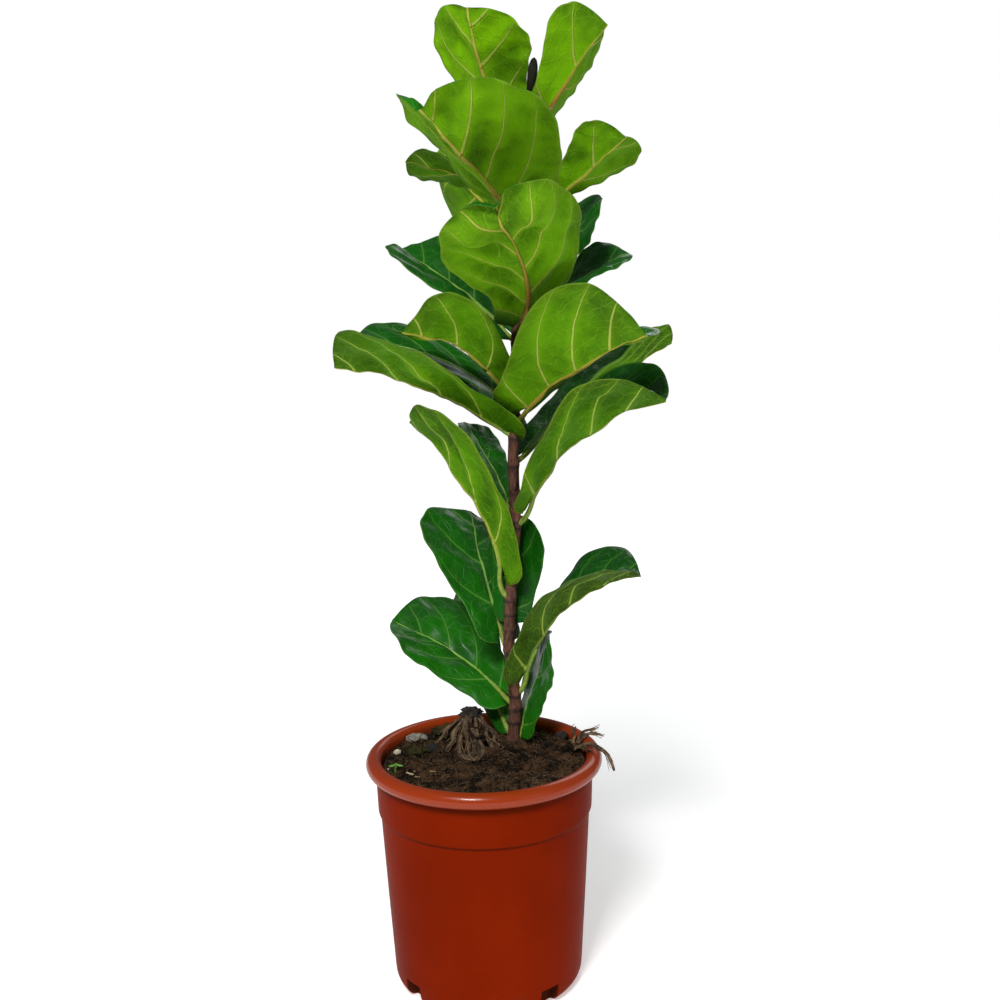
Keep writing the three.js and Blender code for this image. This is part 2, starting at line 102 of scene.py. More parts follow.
soft_panel("key_panel", (-0.35, -1.3, 1.5), (0.0, 0.0, 0.48), 0.35, 20)
soft_panel("fill_panel", (1.3, -1.1, 0.9), (0.0, 0.0, 0.45), 0.9, 1.5)
soft_panel("back_panel", (0.6, 1.5, 1.4), (0.0, 0.0, 0.5), 0.9, 6)
sun_data = bpy.data.lights.new("high_softbox", "SUN")
sun_data.energy, sun_data.angle = 0.8, math.radians(25)
sun = add_object("high_softbox", sun_data)
sun.rotation_euler = Vector((0.25, 0.55, -0.8)).to_track_quat("-Z", "Y").to_euler()

world = bpy.data.worlds.new("pale_world")
world.use_nodes = True
sky = world.node_tree
seen, lit = sky.nodes["Background"], sky.nodes.new("ShaderNodeBackground")
seen.inputs["Color"].default_value = (1, 1, 1, 1)
seen.inputs["Strength"].default_value = 1.0
lit.inputs["Color"].default_value = (0.93, 0.97, 1, 1)
lit.inputs["Strength"].default_value = 0.17
either = sky.nodes.new("ShaderNodeMixShader")
sky.links.new(sky.nodes.new("ShaderNodeLightPath").outputs["Is Camera Ray"], either.inputs[0])
sky.links.new(lit.outputs[0], either.inputs[1])
sky.links.new(seen.outputs[0], either.inputs[2])
sky.links.new(either.outputs[0], sky.nodes["World Output"].inputs[0])
bpy.context.scene.world = world
bpy.context.scene.view_settings.view_transform = "Standard"

FLOOR_HALF, FLOOR_DROP = 6.0, 0.0002
floor_mesh = bpy.data.meshes.new("floor")
corners = [(-FLOOR_HALF, -FLOOR_HALF, 0), (FLOOR_HALF, -FLOOR_HALF, 0),
           (FLOOR_HALF, FLOOR_HALF, 0), (-FLOOR_HALF, FLOOR_HALF, 0)]
floor_mesh.from_pydata([Vector(c) - Vector((0, 0, FLOOR_DROP)) for c in corners], [], [(0, 1, 2, 3)])
floor = add_object("floor", floor_mesh)
print("floor, m across:", 2 * FLOOR_HALF)

# %% [markdown]
# ## Writing materials as sums
# A material is a graph of nodes. Wiring maths nodes by hand is slow to read, so a small class
# wraps one output socket and turns Python operators into Math nodes: `1 - mask * 2` just works.
# Every other node comes from one function that takes its kind, settings and inputs.

# %% The flow class and the node function
def node(tree, kind, settings=None, want=0, **inputs):
    """Adds a node. settings are set first; inputs are named by identifier or name, spaces as _."""
    made = tree.nodes.new(kind)
    for key, value in (settings or {}).items():
        setattr(made, key, value)
    for key, value in inputs.items():
        plain = key.replace("_", " ")
        found = [s for s in made.inputs if s.identifier in (key, plain)]
        found = found or [s for s in made.inputs if s.name in (key, plain)]
        if isinstance(value, Flow):
            tree.links.new(value.out, found[0])
        else:
            found[0].default_value = value
    outs = [s for s in made.outputs if s.name == want or s.identifier == want]
    return Flow(tree, outs[0] if outs else made.outputs[want])


class Flow:
    """One output socket, so that maths on it reads as Python."""

    def __init__(self, tree, out):
        self.tree = tree
        self.out = out

    def math(self, operation, first, second=0.0):
        made = self.tree.nodes.new("ShaderNodeMath")
        made.operation = operation
        for place, value in enumerate((first, second)):
            if isinstance(value, Flow):
                self.tree.links.new(value.out, made.inputs[place])
            else:
                made.inputs[place].default_value = value
        return Flow(self.tree, made.outputs[0])

    def __add__(self, other):
        return self.math("ADD", self, other)

    __radd__ = __add__

    def __sub__(self, other):
        return self.math("SUBTRACT", self, other)

    def __rsub__(self, other):
        return self.math("SUBTRACT", other, self)

    def __mul__(self, other):
        return self.math("MULTIPLY", self, other)

    __rmul__ = __mul__

    def __truediv__(self, other):
        return self.math("DIVIDE", self, other)

    def __pow__(self, other):
        return self.math("POWER", self, other)

    def __abs__(self):
        return self.math("ABSOLUTE", self)

    def nearest_whole(self):
        """How far this is from the nearest whole number, 0 to 0.5."""
        return abs(self - self.math("ROUND", self))

    def ramp(self, low, high):
        """0 below low, 1 above high, and a smooth rise between; low may be above high."""
        return node(self.tree, "ShaderNodeMapRange", {"interpolation_type": "SMOOTHSTEP"},
                    Value=self, From_Min=low, From_Max=high)


print("the flow class and the node function are ready")

# %% [markdown]
# With those, a few short helpers cover nearly all that the finishes need: clouds of noise, parts
# and stretches of coordinates, and tints laid over each other like washes of paint.

# %% Helpers for materials
def mixed(mask, below, above):
    """The colour below where mask is 0 and above where it is 1; colours are flows or (r, g, b)."""
    below, above = (c if isinstance(c, Flow) else (*c, 1) for c in (below, above))
    return node(mask.tree, "ShaderNodeMix", {"data_type": "RGBA"}, want="Result_Color",
                Factor_Float=mask, A_Color=below, B_Color=above)


def layered(colour, *layers):
    """Lays tints over a colour, each as (mask, tint), later ones over earlier ones."""
    for mask, tint in layers:
        colour = mixed(mask, colour, tint)
    return colour


def noise(place, scale, detail=4.0, rough=0.55, want="Fac"):
    """Cloudy noise, around 0.5, on the given coordinates."""
    return node(place.tree, "ShaderNodeTexNoise", {"noise_dimensions": "3D"}, want=want,
                Vector=place, Scale=scale, Detail=detail, Roughness=rough)


def split(vector):
    """The three parts of a vector flow."""
    parts = vector.tree.nodes.new("ShaderNodeSeparateXYZ")
    vector.tree.links.new(vector.out, parts.inputs[0])
    return [Flow(vector.tree, socket) for socket in parts.outputs]


def stretched(place, *factors):
    """Coordinates times a factor for each axis; a small one draws a pattern out along its axis."""
    return node(place.tree, "ShaderNodeVectorMath", {"operation": "MULTIPLY"}, want="Vector",
                Vector=place, Vector_001=factors)


def attribute(tree, name, want="Fac"):
    """A value that the mesh stores on each of its points."""
    return node(tree, "ShaderNodeAttribute", {"attribute_name": name}, want=want)


def begin(name):
    """A new material: its tree, its shader and the object coordinates."""
    material = bpy.data.materials.new(name)
    material.use_nodes = True
    tree = material.node_tree
    return material, tree, tree.nodes["Principled BSDF"], node(tree, "ShaderNodeTexCoord", want="Object")


def feed(shader, **values):
    """Links or sets the shader's sockets, named with _ for spaces."""
    for key, value in values.items():
        socket = shader.inputs[key.replace("_", " ")]
        if isinstance(value, Flow):
            shader.id_data.links.new(value.out, socket)
        else:
            socket.default_value = value


def bump(height, depth):
    """A normal from a height between 0 and 1 that stands for depth metres."""
    return node(height.tree, "ShaderNodeBump", want="Normal", Height=height, Distance=depth,
                Strength=1.0)


print("material helpers ready")

# %% [markdown]
# The floor should vanish. Its white paint is dull, and it glows a little more with distance, so
# that the far floor melts into the pale world.

# %% Floor paint
floor_paint, tree, shader, place = begin("floor_paint")
px, py, _ = split(place)
far = ((px * px + py * py) ** 0.5).ramp(0.3, 1.6)
feed(shader, Base_Color=mixed(noise(place, 1.5), (0.93, 0.93, 0.92), (0.95, 0.95, 0.95)),
     Emission_Color=mixed(far, (0.42, 0.42, 0.42), (0.68, 0.68, 0.68)), Emission_Strength=1.0,
     Roughness=0.9, Specular_IOR_Level=0.1)
floor_mesh.materials.append(floor_paint)
print("floor painted:", floor_paint.name)

# %% [markdown]
# ## The stem's line and the leaf's rule
# Every leaf hangs from a node on the stem, so we first need the line of the stem. It repeats the
# rows that the frame was built from, in millimetres. Each leaf then follows one rule: a midrib that
# arches and turns, an outline like a fiddle, and two halves that fold and curl. Twenty-four rows
# of numbers then give twenty-four different leaves, which is quicker than sculpting each by hand.
# A separate fitting program worked out the shape columns, up to the arch, and they were rounded.
# Freshness and warmth were chosen one by one.

# %% Stem line and leaf table
STEM_ROWS = np.array([
    [150, 24, 38, 5.6], [188, 26, 37, 5.6], [240, 30, 35, 5.4], [270, 28, 34, 5.3],
    [296, 25, 33, 5.2], [330, 27, 31, 5.1], [360, 29, 29, 5.05], [405, 33, 27, 4.9],
    [470, 32, 24, 4.7], [560, 36, 20, 4.25], [640, 41, 16, 3.79], [720, 48, 12, 3.32],
    [775, 52, 10, 3.0]])


def stem_at(z):
    """Middle of the stem at height z, and its radius there, both in millimetres."""
    x, y, girth = (np.interp(z, STEM_ROWS[:, 0], STEM_ROWS[:, k]) for k in (1, 2, 3))
    return np.stack([x, y, z + 0 * x], -1), girth


# z of the node, heading, rise, tip angle, sweep, stalk, length, width, roll, twist, fold left and
# right, curl left and right, how late the arch starts, freshness, warmth of the midrib
LEAF_ROWS = [
    [207, 12, 75, 71, -26, 12, 91, 84, 4, 1, -12, -15, 33, 3, 1.3, 0.65, 0.1],
    [209, 120, 44, 41, -14, 21, 143, 60, -39, -11, -15, -5, -30, -10, 1.2, 0.35, 0.1],
    [239, 129, 26, 22, 40, 19, 135, 105, -34, 35, 8, 32, 6, -10, 1.1, 0.55, 0.1],
    [252, -11, 72, 5, 4, 22, 146, 107, -33, 29, 41, 21, -5, -14, 1.1, 0, 0],
    [293, 120, 58, 36, -22, 21, 126, 118, 7, 19, -6, -8, 16, -19, 1.7, 0.35, 0.1],
    [314, 67, 82, 79, -10, 13, 89, 80, 5, -37, -7, -8, 4, 22, 1.2, 0.2, 0.1],
    [343, 184, 83, 38, -40, 30, 158, 119, 9, 3, 27, 9, 24, -13, 0.7, 0.22, 0.05],
    [410, -25, 63, 12, -4, 30, 153, 132, 16, -18, 10, 21, 61, 19, 0.8, 0.11, 0.0],
    [415, 135, 66, 43, 4, 13, 87, 58, 15, -3, 10, 12, 2, -1, 1.1, 0.6, 0.1],
    [465, 45, 28, 27, -21, 29, 189, 109, -16, 10, 24, 32, 3, -2, 1.1, 0.3, 0.2],
    [490, 177, 37, 5, -5, 7, 161, 152, -7, 7, 43, 36, -26, -40, 1.0, 0.16, 0.0],
    [500, -63, 33, 21, 34, 26, 144, 142, 5, -25, 18, 38, 24, -8, 0.6, 0.33, 0.45],
    [510, 163, 48, 6, 19, 22, 134, 69, -14, -3, 5, 16, -7, 0, 0.6, 0.2, 0.1],
    [521, 222, 46, 5, -13, 20, 110, 95, -7, 25, 34, 14, -3, 24, 1.0, 0.26, 0.3],
    [572, 142, 43, 23, -7, 18, 140, 79, -27, 33, 19, 33, -17, 16, 0.6, 0.2, 0.1],
    [580, 278, 19, 33, -40, 30, 190, 107, -2, 18, 10, 11, 20, -40, 0.9, 0.5, 1],
    [585, 5, 36, 18, 3, 30, 83, 71, 4, 4, 10, 1, 32, -2, 1.9, 0.2, 0.1],
    [605, 8, 51, 48, -40, 28, 82, 71, 29, -8, 7, -11, 18, 1, 1.3, 0.1, 0.1],
    [651, 141, 49, 29, -23, 24, 116, 112, 53, 7, 51, -15, 22, 17, 0.6, 0.6, 0.3],
    [663, 261, 10, 37, -40, 12, 190, 152, 2, 10, 31, 38, -39, 6, 0.9, 0.75, 0.7],
    [675, -16, 31, 38, -19, 30, 78, 74, -17, 5, 9, 24, -16, 2, 0.6, 0.65, 0.2],
    [683, 189, 32, 5, -1, 17, 87, 72, 9, 8, 4, -4, -18, 15, 1.0, 0.35, 0.3],
    [727, 220, 49, 62, 40, 30, 99, 102, 23, -60, 25, 16, -37, -8, 1.2, 1, 0.5],
    [740, 6, 56, 51, -3, 23, 88, 88, -35, 16, 7, 28, 10, 30, 1.2, 0.75, 0.8],
]
LEAF_KEYS = ("z az rise tip sweep stalk length width roll twist fold_left fold_right curl_left "
             "curl_right late fresh warm").split()
LEAVES = [dict(zip(LEAF_KEYS, row), name=f"leaf_{i + 1:02d}", seed=i)
          for i, row in enumerate(LEAF_ROWS)]
print("leaves:", len(LEAVES), "longest, mm:", max(leaf["length"] for leaf in LEAVES))

# %% [markdown]
# The outline gives half the width at each share of the length: an eared foot, a waist, the broad
# end and a blunt tip. A smooth curve through a few rows is easy to read and to change.

# %% Outline, midrib and blade surface
OUTLINE = np.array([
    [0, 0.08], [0.012, 0.26], [0.035, 0.38], [0.08, 0.46], [0.14, 0.48], [0.3, 0.6], [0.5, 0.84],
    [0.68, 1], [0.83, 0.93], [0.94, 0.62], [1, 0]])
STEPS = 60  # of the midrib
NOTCHED = {16: 0.1, 20: 0.05, 23: 0.03, 21: 0.04}  # leaves with a notched tip, share of the length
SLIGHT_NOTCH = 0.012  # of the other leaves


def half_width(u):
    """Half the width at share u of the length, as a share of the widest half."""
    x, y = OUTLINE[:, 0], OUTLINE[:, 1]
    rise = np.diff(y) / np.diff(x)
    gaps = np.diff(x)
    slopes = np.concatenate([[rise[0]], (rise[:-1] * gaps[1:] + rise[1:] * gaps[:-1])
                             / (gaps[1:] + gaps[:-1]), [rise[-1]]])
    i = np.clip(np.searchsorted(x, u, side="left") - 1, 0, len(x) - 2)
    t = (u - x[i]) / gaps[i]
    value = ((2 * t**3 - 3 * t**2 + 1) * y[i] + (t**3 - 2 * t**2 + t) * gaps[i] * slopes[i]
             + (3 * t**2 - 2 * t**3) * y[i + 1] + (t**3 - t**2) * gaps[i] * slopes[i + 1])
    return np.maximum(value, 0)


def heading(azimuth, rise):
    """Unit direction, from degrees round the stem and degrees above level."""
    a, r = np.radians(azimuth), np.radians(rise)
    return np.stack([np.cos(r) * np.cos(a), np.cos(r) * np.sin(a), np.sin(r) + 0 * a], -1)


def midrib(leaf):
    """The midrib in equal steps: places and the along, side and up directions, plus its stalk."""
    s = np.linspace(0, 1, STEPS + 1)
    middle, girth = stem_at(leaf["z"])
    start = middle + girth * heading(leaf["az"], 0)
    foot = start + leaf["stalk"] * heading(leaf["az"], leaf["rise"])
    turn = leaf["az"] + leaf["sweep"] * s
    along = heading(turn, leaf["rise"] + (leaf["tip"] - leaf["rise"]) * s ** leaf["late"])
    steps = (along[1:] + along[:-1]) / 2 * leaf["length"] / STEPS
    place = foot + np.concatenate([[[0, 0, 0]], np.cumsum(steps, 0)])
    a = np.radians(turn)
    level = np.stack([-np.sin(a), np.cos(a), 0 * a], -1)
    above = np.cross(along, level)
    roll = np.radians(leaf["roll"] + leaf["twist"] * s)[:, None]
    side = level * np.cos(roll) + above * np.sin(roll)
    up = above * np.cos(roll) - level * np.sin(roll)
    return dict(start=start, foot=foot, place=place, along=along, side=side, up=up)


def blade_surface(leaf, rib, u, t):
    """Middle surface at shares u along and t across: places, normals and distance across."""
    u, t = np.broadcast_arrays(u, t)
    half = leaf["width"] / 2
    across = np.abs(t) * half_width(u) * half
    notch = NOTCHED.get(leaf["seed"] + 1, SLIGHT_NOTCH)
    late = np.clip((u - 0.72) / 0.28, 0, 1) ** 2
    s = u - 0.13 * (1 - u) ** 3 * t * t - notch * late * np.exp(-(across / 11) ** 2)
    exact = np.clip(s, 0, 1) * STEPS
    low = np.minimum(exact.astype(int), STEPS - 1)
    share = (exact - low)[..., None]
    place, side, up = (rib[k][low] * (1 - share) + rib[k][low + 1] * share
                       for k in ("place", "side", "up"))
    place = place + np.minimum(s, 0)[..., None] * leaf["length"] * rib["along"][0]
    left = t > 0
    fold = np.radians(np.where(left, leaf["fold_left"], leaf["fold_right"]))
    curl = np.radians(np.where(left, leaf["curl_left"], leaf["curl_right"])) / half
    curl = np.where(np.abs(curl) < 1e-6, 1e-6, curl)
    angle = fold + curl * across
    sign = np.where(left, 1.0, -1.0)
    out = (np.sin(angle) - np.sin(fold)) / curl
    lift = (np.cos(fold) - np.cos(angle)) / curl
    place = place + side * (sign * out)[..., None] + up * lift[..., None]
    bend = np.where(t == 0, 0, angle)
    normal = up * np.cos(bend)[..., None] - side * (sign * np.sin(bend))[..., None]
    return place, normal, sign * across


print("outline widest at", OUTLINE[OUTLINE[:, 1].argmax(), 0], "of the length")

# %% [markdown]
# Between its side veins a fiddle leaf bulges upwards like a quilt, and its margin waves. The veins
# leave the midrib in turn left and right and bend towards the tip. One formula places them, and
# the material uses the same formula, so the coloured veins lie in the valleys of the quilt.

# %% Vein formula and fine shape of a leaf
VEIN_GAP = 0.038  # metres between the side veins of one half
VEIN_SLANT, VEIN_BEND = 0.3, 0.2


def vein_phase(leaf, u, across):
    """A number that is whole on each side vein; the left half is half a vein later."""
    pairs = round(leaf["length"] * MM / VEIN_GAP)
    x = np.abs(across) / (leaf["width"] / 2)
    return pairs * (u - VEIN_SLANT * x - VEIN_BEND * x * x) + 0.5 * (across > 0)


print("side veins on the longest leaf:", 2 * round(190 * MM / VEIN_GAP))

# %% [markdown]
# Age and handling leave each leaf its own puckers: dents and swellings of a centimetre or two. We
# list the clearest ones by leaf, and let noise make the rest. Three leaves stay calmer.

# %% Puckers and fine shape
# for each leaf: share along, share across (+ is left), reach in mm, height in mm (- is downwards)
PUCKERS = {
    16: [(0.85, -0.42, 16, -14), (0.83, 0.45, 15, -13), (0.66, -0.3, 9, 7), (0.67, 0.32, 9, 7),
         (0.95, 0.0, 8, 6)],
    20: [(0.74, 0.4, 22, -6), (0.9, 0.12, 8, 3), (0.56, 0.25, 12, 3)],
    14: [(0.8, -0.3, 14, -6), (0.62, 0.3, 12, 5), (0.92, 0.4, 12, -5), (0.45, -0.4, 12, 4)],
    12: [(0.6, 0.35, 16, 6), (0.82, -0.2, 15, 6), (0.75, 0.6, 14, -6)],
    11: [(0.5, 0.3, 14, -5), (0.7, 0.5, 12, -4), (0.82, -0.3, 13, -5), (0.9, 0.4, 11, -4)],
    8: [(0.7, -0.5, 14, 5), (0.85, 0.3, 14, -5)],
    23: [(0.7, 0.3, 16, -4)],
    19: [(0.8, -0.3, 14, -5)],
    7: [(0.7, 0.4, 12, 4)],
    4: [(0.6, -0.3, 15, 5)],
}
CALM = {6: 0.4, 13: 0.35, 19: 0.4}  # how much of its relief a calmer leaf keeps


def wandering(leaf, along, across, size):
    """Smooth noise, about -1 to 1, over a blade; size is that of its waves in millimetres."""
    shift = leaf["seed"] * 7.3
    flat = zip(along.ravel() / size + shift, across.ravel() / size)
    return np.array([lumps.noise(Vector((a, b, shift))) for a, b in flat]).reshape(along.shape)


def fine_shape(leaf, u, t, across):
    """How far, in millimetres, the real surface stands above the smooth one."""
    phase = vein_phase(leaf, u, across)
    along = u * leaf["length"]
    swell = 0.5 - 0.5 * np.cos(2 * np.pi * phase)
    size = leaf["length"] / 150
    uneven = 1 + 0.9 * wandering(leaf, along, across, 16)
    quilt = 3.2 * size * swell * uneven * np.clip(np.abs(across) / 10, 0, 1) * (1 - np.abs(t) ** 4)
    broad = 4.2 * size * wandering(leaf, along, across, 34) + 1.3 * wandering(leaf, along, across, 11)
    k = leaf["seed"]
    wave = np.sin(2 * np.pi * (2.6 * u + 0.37 * k) + np.where(t > 0, 1.9, 0)) * np.abs(t) ** 3
    ripple = np.sin(2 * np.pi * (6.3 * u + 0.71 * k) - np.where(t > 0, 0.8, 0)) * np.abs(t) ** 5
    total = quilt - 0.6 * size + 1.5 * size * wave + 0.6 * ripple + broad * (1 - 0.5 * np.abs(t) ** 3)
    for share, aside, reach, height in PUCKERS.get(k + 1, []):
        far = (along - share * leaf["length"]) ** 2 + (across - aside * leaf["width"] / 2) ** 2
        total = total + height * np.exp(-far / reach**2)
    return total * np.clip(u * 8, 0, 1) * CALM.get(k + 1, 1)


print("leaves with puckers of their own:", len(PUCKERS))

# %% [markdown]
# Every piece ends in the same two ways. Its points and faces become a closed mesh with all normals
# outwards, and the mesh then takes the place of its node in the frame.

# %% Closed meshes
def closed_mesh(name, points, faces, materials, slots=None, values=None):
    """A mesh from millimetre points, doubles merged, normals outwards; values are attributes."""
    mesh = bpy.data.meshes.new(name)
    mesh.from_pydata([tuple(p) for p in np.asarray(points) * MM], [], faces)
    for material in materials:
        mesh.materials.append(material)
    if slots:
        mesh.polygons.foreach_set("material_index", np.asarray(slots, dtype=np.int32))
    for key, value in (values or {}).items():
        value = np.asarray(value, dtype=np.float32)
        kind = "FLOAT_VECTOR" if value.ndim == 2 else "FLOAT"
        field = mesh.attributes.new(key, kind, "POINT")
        field.data.foreach_set("vector" if value.ndim == 2 else "value", value.ravel())
    tidy = bmesh.new()
    tidy.from_mesh(mesh)
    bmesh.ops.remove_doubles(tidy, verts=tidy.verts, dist=1e-6)
    bmesh.ops.dissolve_degenerate(tidy, edges=tidy.edges, dist=1e-7)
    bmesh.ops.recalc_face_normals(tidy, faces=tidy.faces)
    tidy.to_mesh(mesh)
    tidy.free()
    mesh.shade_smooth()
    return add_object(name, mesh)


def finish_piece(made, node_name):
    """Hangs a finished piece on the frame in place of its CAD node."""
    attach(made, "root")
    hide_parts(node_name)
    return made


print("mesh functions ready")

# %% [markdown]
# ## Leaf finishes
# The upper face is dark, leathery and glossy with pale threads of veins. The underside is matt and
# light green with raised yellow ribs, rusty brown where they are thickest. Both faces read the
# same attributes: millimetres along and across the blade, so veins keep their real width.

# %% Vein masks
RUNG_GAP = 0.0115  # metres between the cross veins that join one side vein to the next


def vein_masks(tree, place):
    """Masks, 0 to 1: midrib, side veins, fine net, margin; and the shares along and across."""
    along, across, t = split(attribute(tree, "blade", "Vector"))
    length, half = attribute(tree, "leaf_length"), attribute(tree, "leaf_half")
    wobble = noise(place, 45, 2) - 0.5
    u = along / length
    x = abs(across) / half
    pairs = u.math("ROUND", length / VEIN_GAP)
    left = u.math("GREATER_THAN", across, 0.0)
    phase = pairs * (u - x * VEIN_SLANT - x * x * VEIN_BEND) + left * 0.5 + wobble * 0.16 * x
    gap = length / pairs * 0.8
    side_far = phase.nearest_whole() * gap
    thin = 1 - abs(t) ** 3 * 0.75
    side_wide = thin * (1 - x * 0.45) * 0.0013
    side = side_far.ramp(side_wide * 1.25, side_wide * 0.5)
    mid_wide = (1 - u) * 0.0016 + 0.0005
    mid = abs(across).ramp(mid_wide * 1.3, mid_wide * 0.7)
    step = phase.math("FLOOR", phase) * 0.37
    rung_far = (abs(across) / RUNG_GAP + wobble * 1.4 + step).nearest_whole() * RUNG_GAP
    rung = rung_far.ramp(0.00055, 0.0002)
    return dict(u=u, x=x, t=t, side=side, mid=mid, rung=rung, side_far=side_far)


def net(place, scale, width):
    """A fine net of tertiary veins: thin lines between the cells of a Voronoi pattern."""
    cells = node(place.tree, "ShaderNodeTexVoronoi", {"feature": "DISTANCE_TO_EDGE"}, want="Distance",
                 Vector=place, Scale=scale)
    return cells.ramp(width, width * 0.2)


print("cross veins every", RUNG_GAP, "m")

# %% [markdown]
# The underside is painted in washes. Old leaves are darker and browner at the edge and the tip,
# fresh ones are bright and speckled. Seen from below, what swells upwards is in shade and what
# sags is light. The ribs come last.

# %% Underside
under, tree, shader, place = begin("leaf_underside")
veins = vein_masks(tree, place)
fresh, warm, relief = (attribute(tree, key) for key in ("fresh", "warm", "relief"))
bent = node(tree, "ShaderNodeVectorMath", {"operation": "MULTIPLY_ADD"}, want="Vector",
            Vector=noise(place, 60, 2, want="Color"), Vector_001=(0.012, 0.012, 0.012),
            Vector_002=place)
coarse_net, fine_net = net(bent, 75, 0.07), net(bent, 260, 0.12)
clouds, specks = noise(place, 22, 3), noise(place, 420, 3)
old, edge = 1 - fresh, abs(veins["t"])
leafy = layered(
    mixed(fresh, (0.038, 0.15, 0.002), (0.16, 0.4, 0.0005)),
    # clouds, then a fine grain
    (clouds.ramp(0.42, 0.68) * 0.7, (0.03, 0.11, 0.002)),
    (specks.ramp(0.45, 0.75) * 0.25, (0.13, 0.27, 0.01)),
    # shade where the blade swells upwards, brown specks, light where it sags and beside the ribs
    ((relief + (clouds - 0.5) * 6).ramp(0.3, 6.0) * (0.62 - fresh * 0.34), (0.02, 0.075, 0.001)),
    (noise(place, 170, 4, 0.7).ramp(0.62, 0.72) * fresh * 0.45, (0.17, 0.13, 0.012)),
    (relief.ramp(-0.5, -6.0) * 0.4, (0.2, 0.46, 0.001)),
    (veins["side_far"].ramp(0.008, 0.0) * 0.25, (0.2, 0.43, 0.005)),
    # an old leaf browns at its edge and tip; every leaf has a thin pale margin
    (edge.ramp(0.8, 1.0) * old * 0.5, (0.06, 0.06, 0.008)),
    ((veins["u"] + clouds * 0.3).ramp(0.75, 1.1) * old * 0.62, (0.03, 0.068, 0.008)),
    (edge.ramp(0.97, 0.995) * 0.5, (0.2, 0.28, 0.03)),
    (fresh.ramp(0.1, 0.0) * 0.6, (0.05, 0.07, 0.018)),
    # the net and the cross veins
    (coarse_net * 0.17 + fine_net * 0.12, (0.17, 0.36, 0.012)),
    (veins["rung"] * 0.28, (0.22, 0.42, 0.02)))
pale_rib = mixed(fresh.ramp(0.0, 0.4), (0.17, 0.24, 0.05), (0.36, 0.37, 0.04))
rusty = mixed(warm, pale_rib, (0.22, 0.055, 0.012))
mid_colour = mixed(veins["u"] * 0.9 * (0.35 + fresh), rusty, (0.42, 0.43, 0.06))
side_colour = mixed(warm * 0.45 * (1 - veins["x"]), (0.36, 0.5, 0.08), (0.36, 0.18, 0.025))
colour = layered(leafy, (veins["side"] * 0.88, side_colour), (veins["mid"] * 0.95, mid_colour))
height = (veins["side"] * 0.7 + veins["mid"] + veins["rung"] * 0.22 + coarse_net * 0.16
          + fine_net * 0.05 + specks * 0.06)
feed(shader, Base_Color=colour, Roughness=0.55 + clouds * 0.15, Normal=bump(height, 0.0012),
     Specular_IOR_Level=0.03)
print("underside nodes:", len(tree.nodes))

# %% [markdown]
# The upper face is simpler: deep green with cloudy darker patches, painted shade where the blade
# dips, a thin waxy coat in places, and veins that are sunk instead of raised, so the height falls
# where their masks rise.

# %% Upper face
upper, tree, shader, place = begin("leaf_upper_face")
veins = vein_masks(tree, place)
clouds, specks = noise(place, 26, 3), noise(place, 380, 3)
coarse_net = net(place, 85, 0.07)
colour = layered(
    mixed(attribute(tree, "fresh"), (0.004, 0.07, 0.003), (0.012, 0.17, 0.001)),
    (clouds.ramp(0.4, 0.7) * 0.55, (0.006, 0.045, 0.006)),
    # painted shade: darker where the blade dips below its smooth surface
    (attribute(tree, "relief").ramp(0.0, -5.0) * 0.5, (0.003, 0.03, 0.002)),
    (veins["side_far"].ramp(0.006, 0.0) * 0.25, (0.03, 0.19, 0.01)),
    (coarse_net * 0.14, (0.06, 0.24, 0.03)),
    (veins["rung"] * 0.2, (0.08, 0.28, 0.04)),
    (veins["side"] * 0.42, (0.13, 0.36, 0.05)),
    (veins["mid"] * 0.8, (0.25, 0.47, 0.08)),
    (abs(veins["t"]).ramp(0.965, 0.995) * 0.45, (0.12, 0.27, 0.03)))
height = 1 - veins["side"] * 0.6 - veins["mid"] * 0.8 - coarse_net * 0.25 - specks * 0.12
feed(shader, Base_Color=colour, Roughness=0.3 + clouds * 0.2, Normal=bump(height, 0.0012),
     Coat_Weight=clouds.ramp(0.4, 0.65) * 0.15, Coat_Roughness=0.15, Specular_IOR_Level=0.13)
print("upper face nodes:", len(tree.nodes))

# %% [markdown]
# The stalk is green on most leaves and rusty on the warm ones, with short brown streaks.

# %% Stalk
stalk_skin, tree, shader, place = begin("leaf_stalk")
streaks = noise(place, 300, 3)
colour = mixed(attribute(tree, "warm"), (0.2, 0.33, 0.03), (0.36, 0.2, 0.03))
colour = mixed(streaks.ramp(0.4, 0.7) * 0.5, colour, (0.13, 0.08, 0.02))
feed(shader, Base_Color=colour, Roughness=0.5 + streaks * 0.2, Normal=bump(streaks, 0.0004))
print("stalk nodes:", len(tree.nodes))

# %% [markdown]
# ## Rings, grids and tubes
# Most pieces of the plant are grids, or rings of points stacked along a line and closed at both
# ends. These functions only number the faces, so any set of points can use them.

# %% Rings, grids and tubes
def full_turn(sides):
    """Angles of evenly spaced points round a ring."""
    return np.linspace(0, 2 * np.pi, sides, endpoint=False)


def grid_faces(rows, columns, first, flip=False):
    """Quads of a grid whose points are numbered row by row from first."""
    r, c = np.meshgrid(np.arange(rows - 1), np.arange(columns - 1), indexing="ij")
    a = (first + r * columns + c).ravel()
    quads = np.stack([a, a + 1, a + columns + 1, a + columns], -1)
    return (quads[:, ::-1] if flip else quads).tolist()


def ring_faces(rings, sides, first=0):
    """Quads between closed rings whose points are numbered ring by ring from first."""
    return [(first + r * sides + k, first + r * sides + (k + 1) % sides,
             first + (r + 1) * sides + (k + 1) % sides, first + (r + 1) * sides + k)
            for r in range(rings - 1) for k in range(sides)]


def end_faces(rings, sides, first=0):
    """Fans that close the first and last rings; their two middle points follow all the rings."""
    low = first + rings * sides
    ring = low - sides
    return ([(low, first + (k + 1) % sides, first + k) for k in range(sides)]
            + [(low + 1, ring + k, ring + (k + 1) % sides) for k in range(sides)])


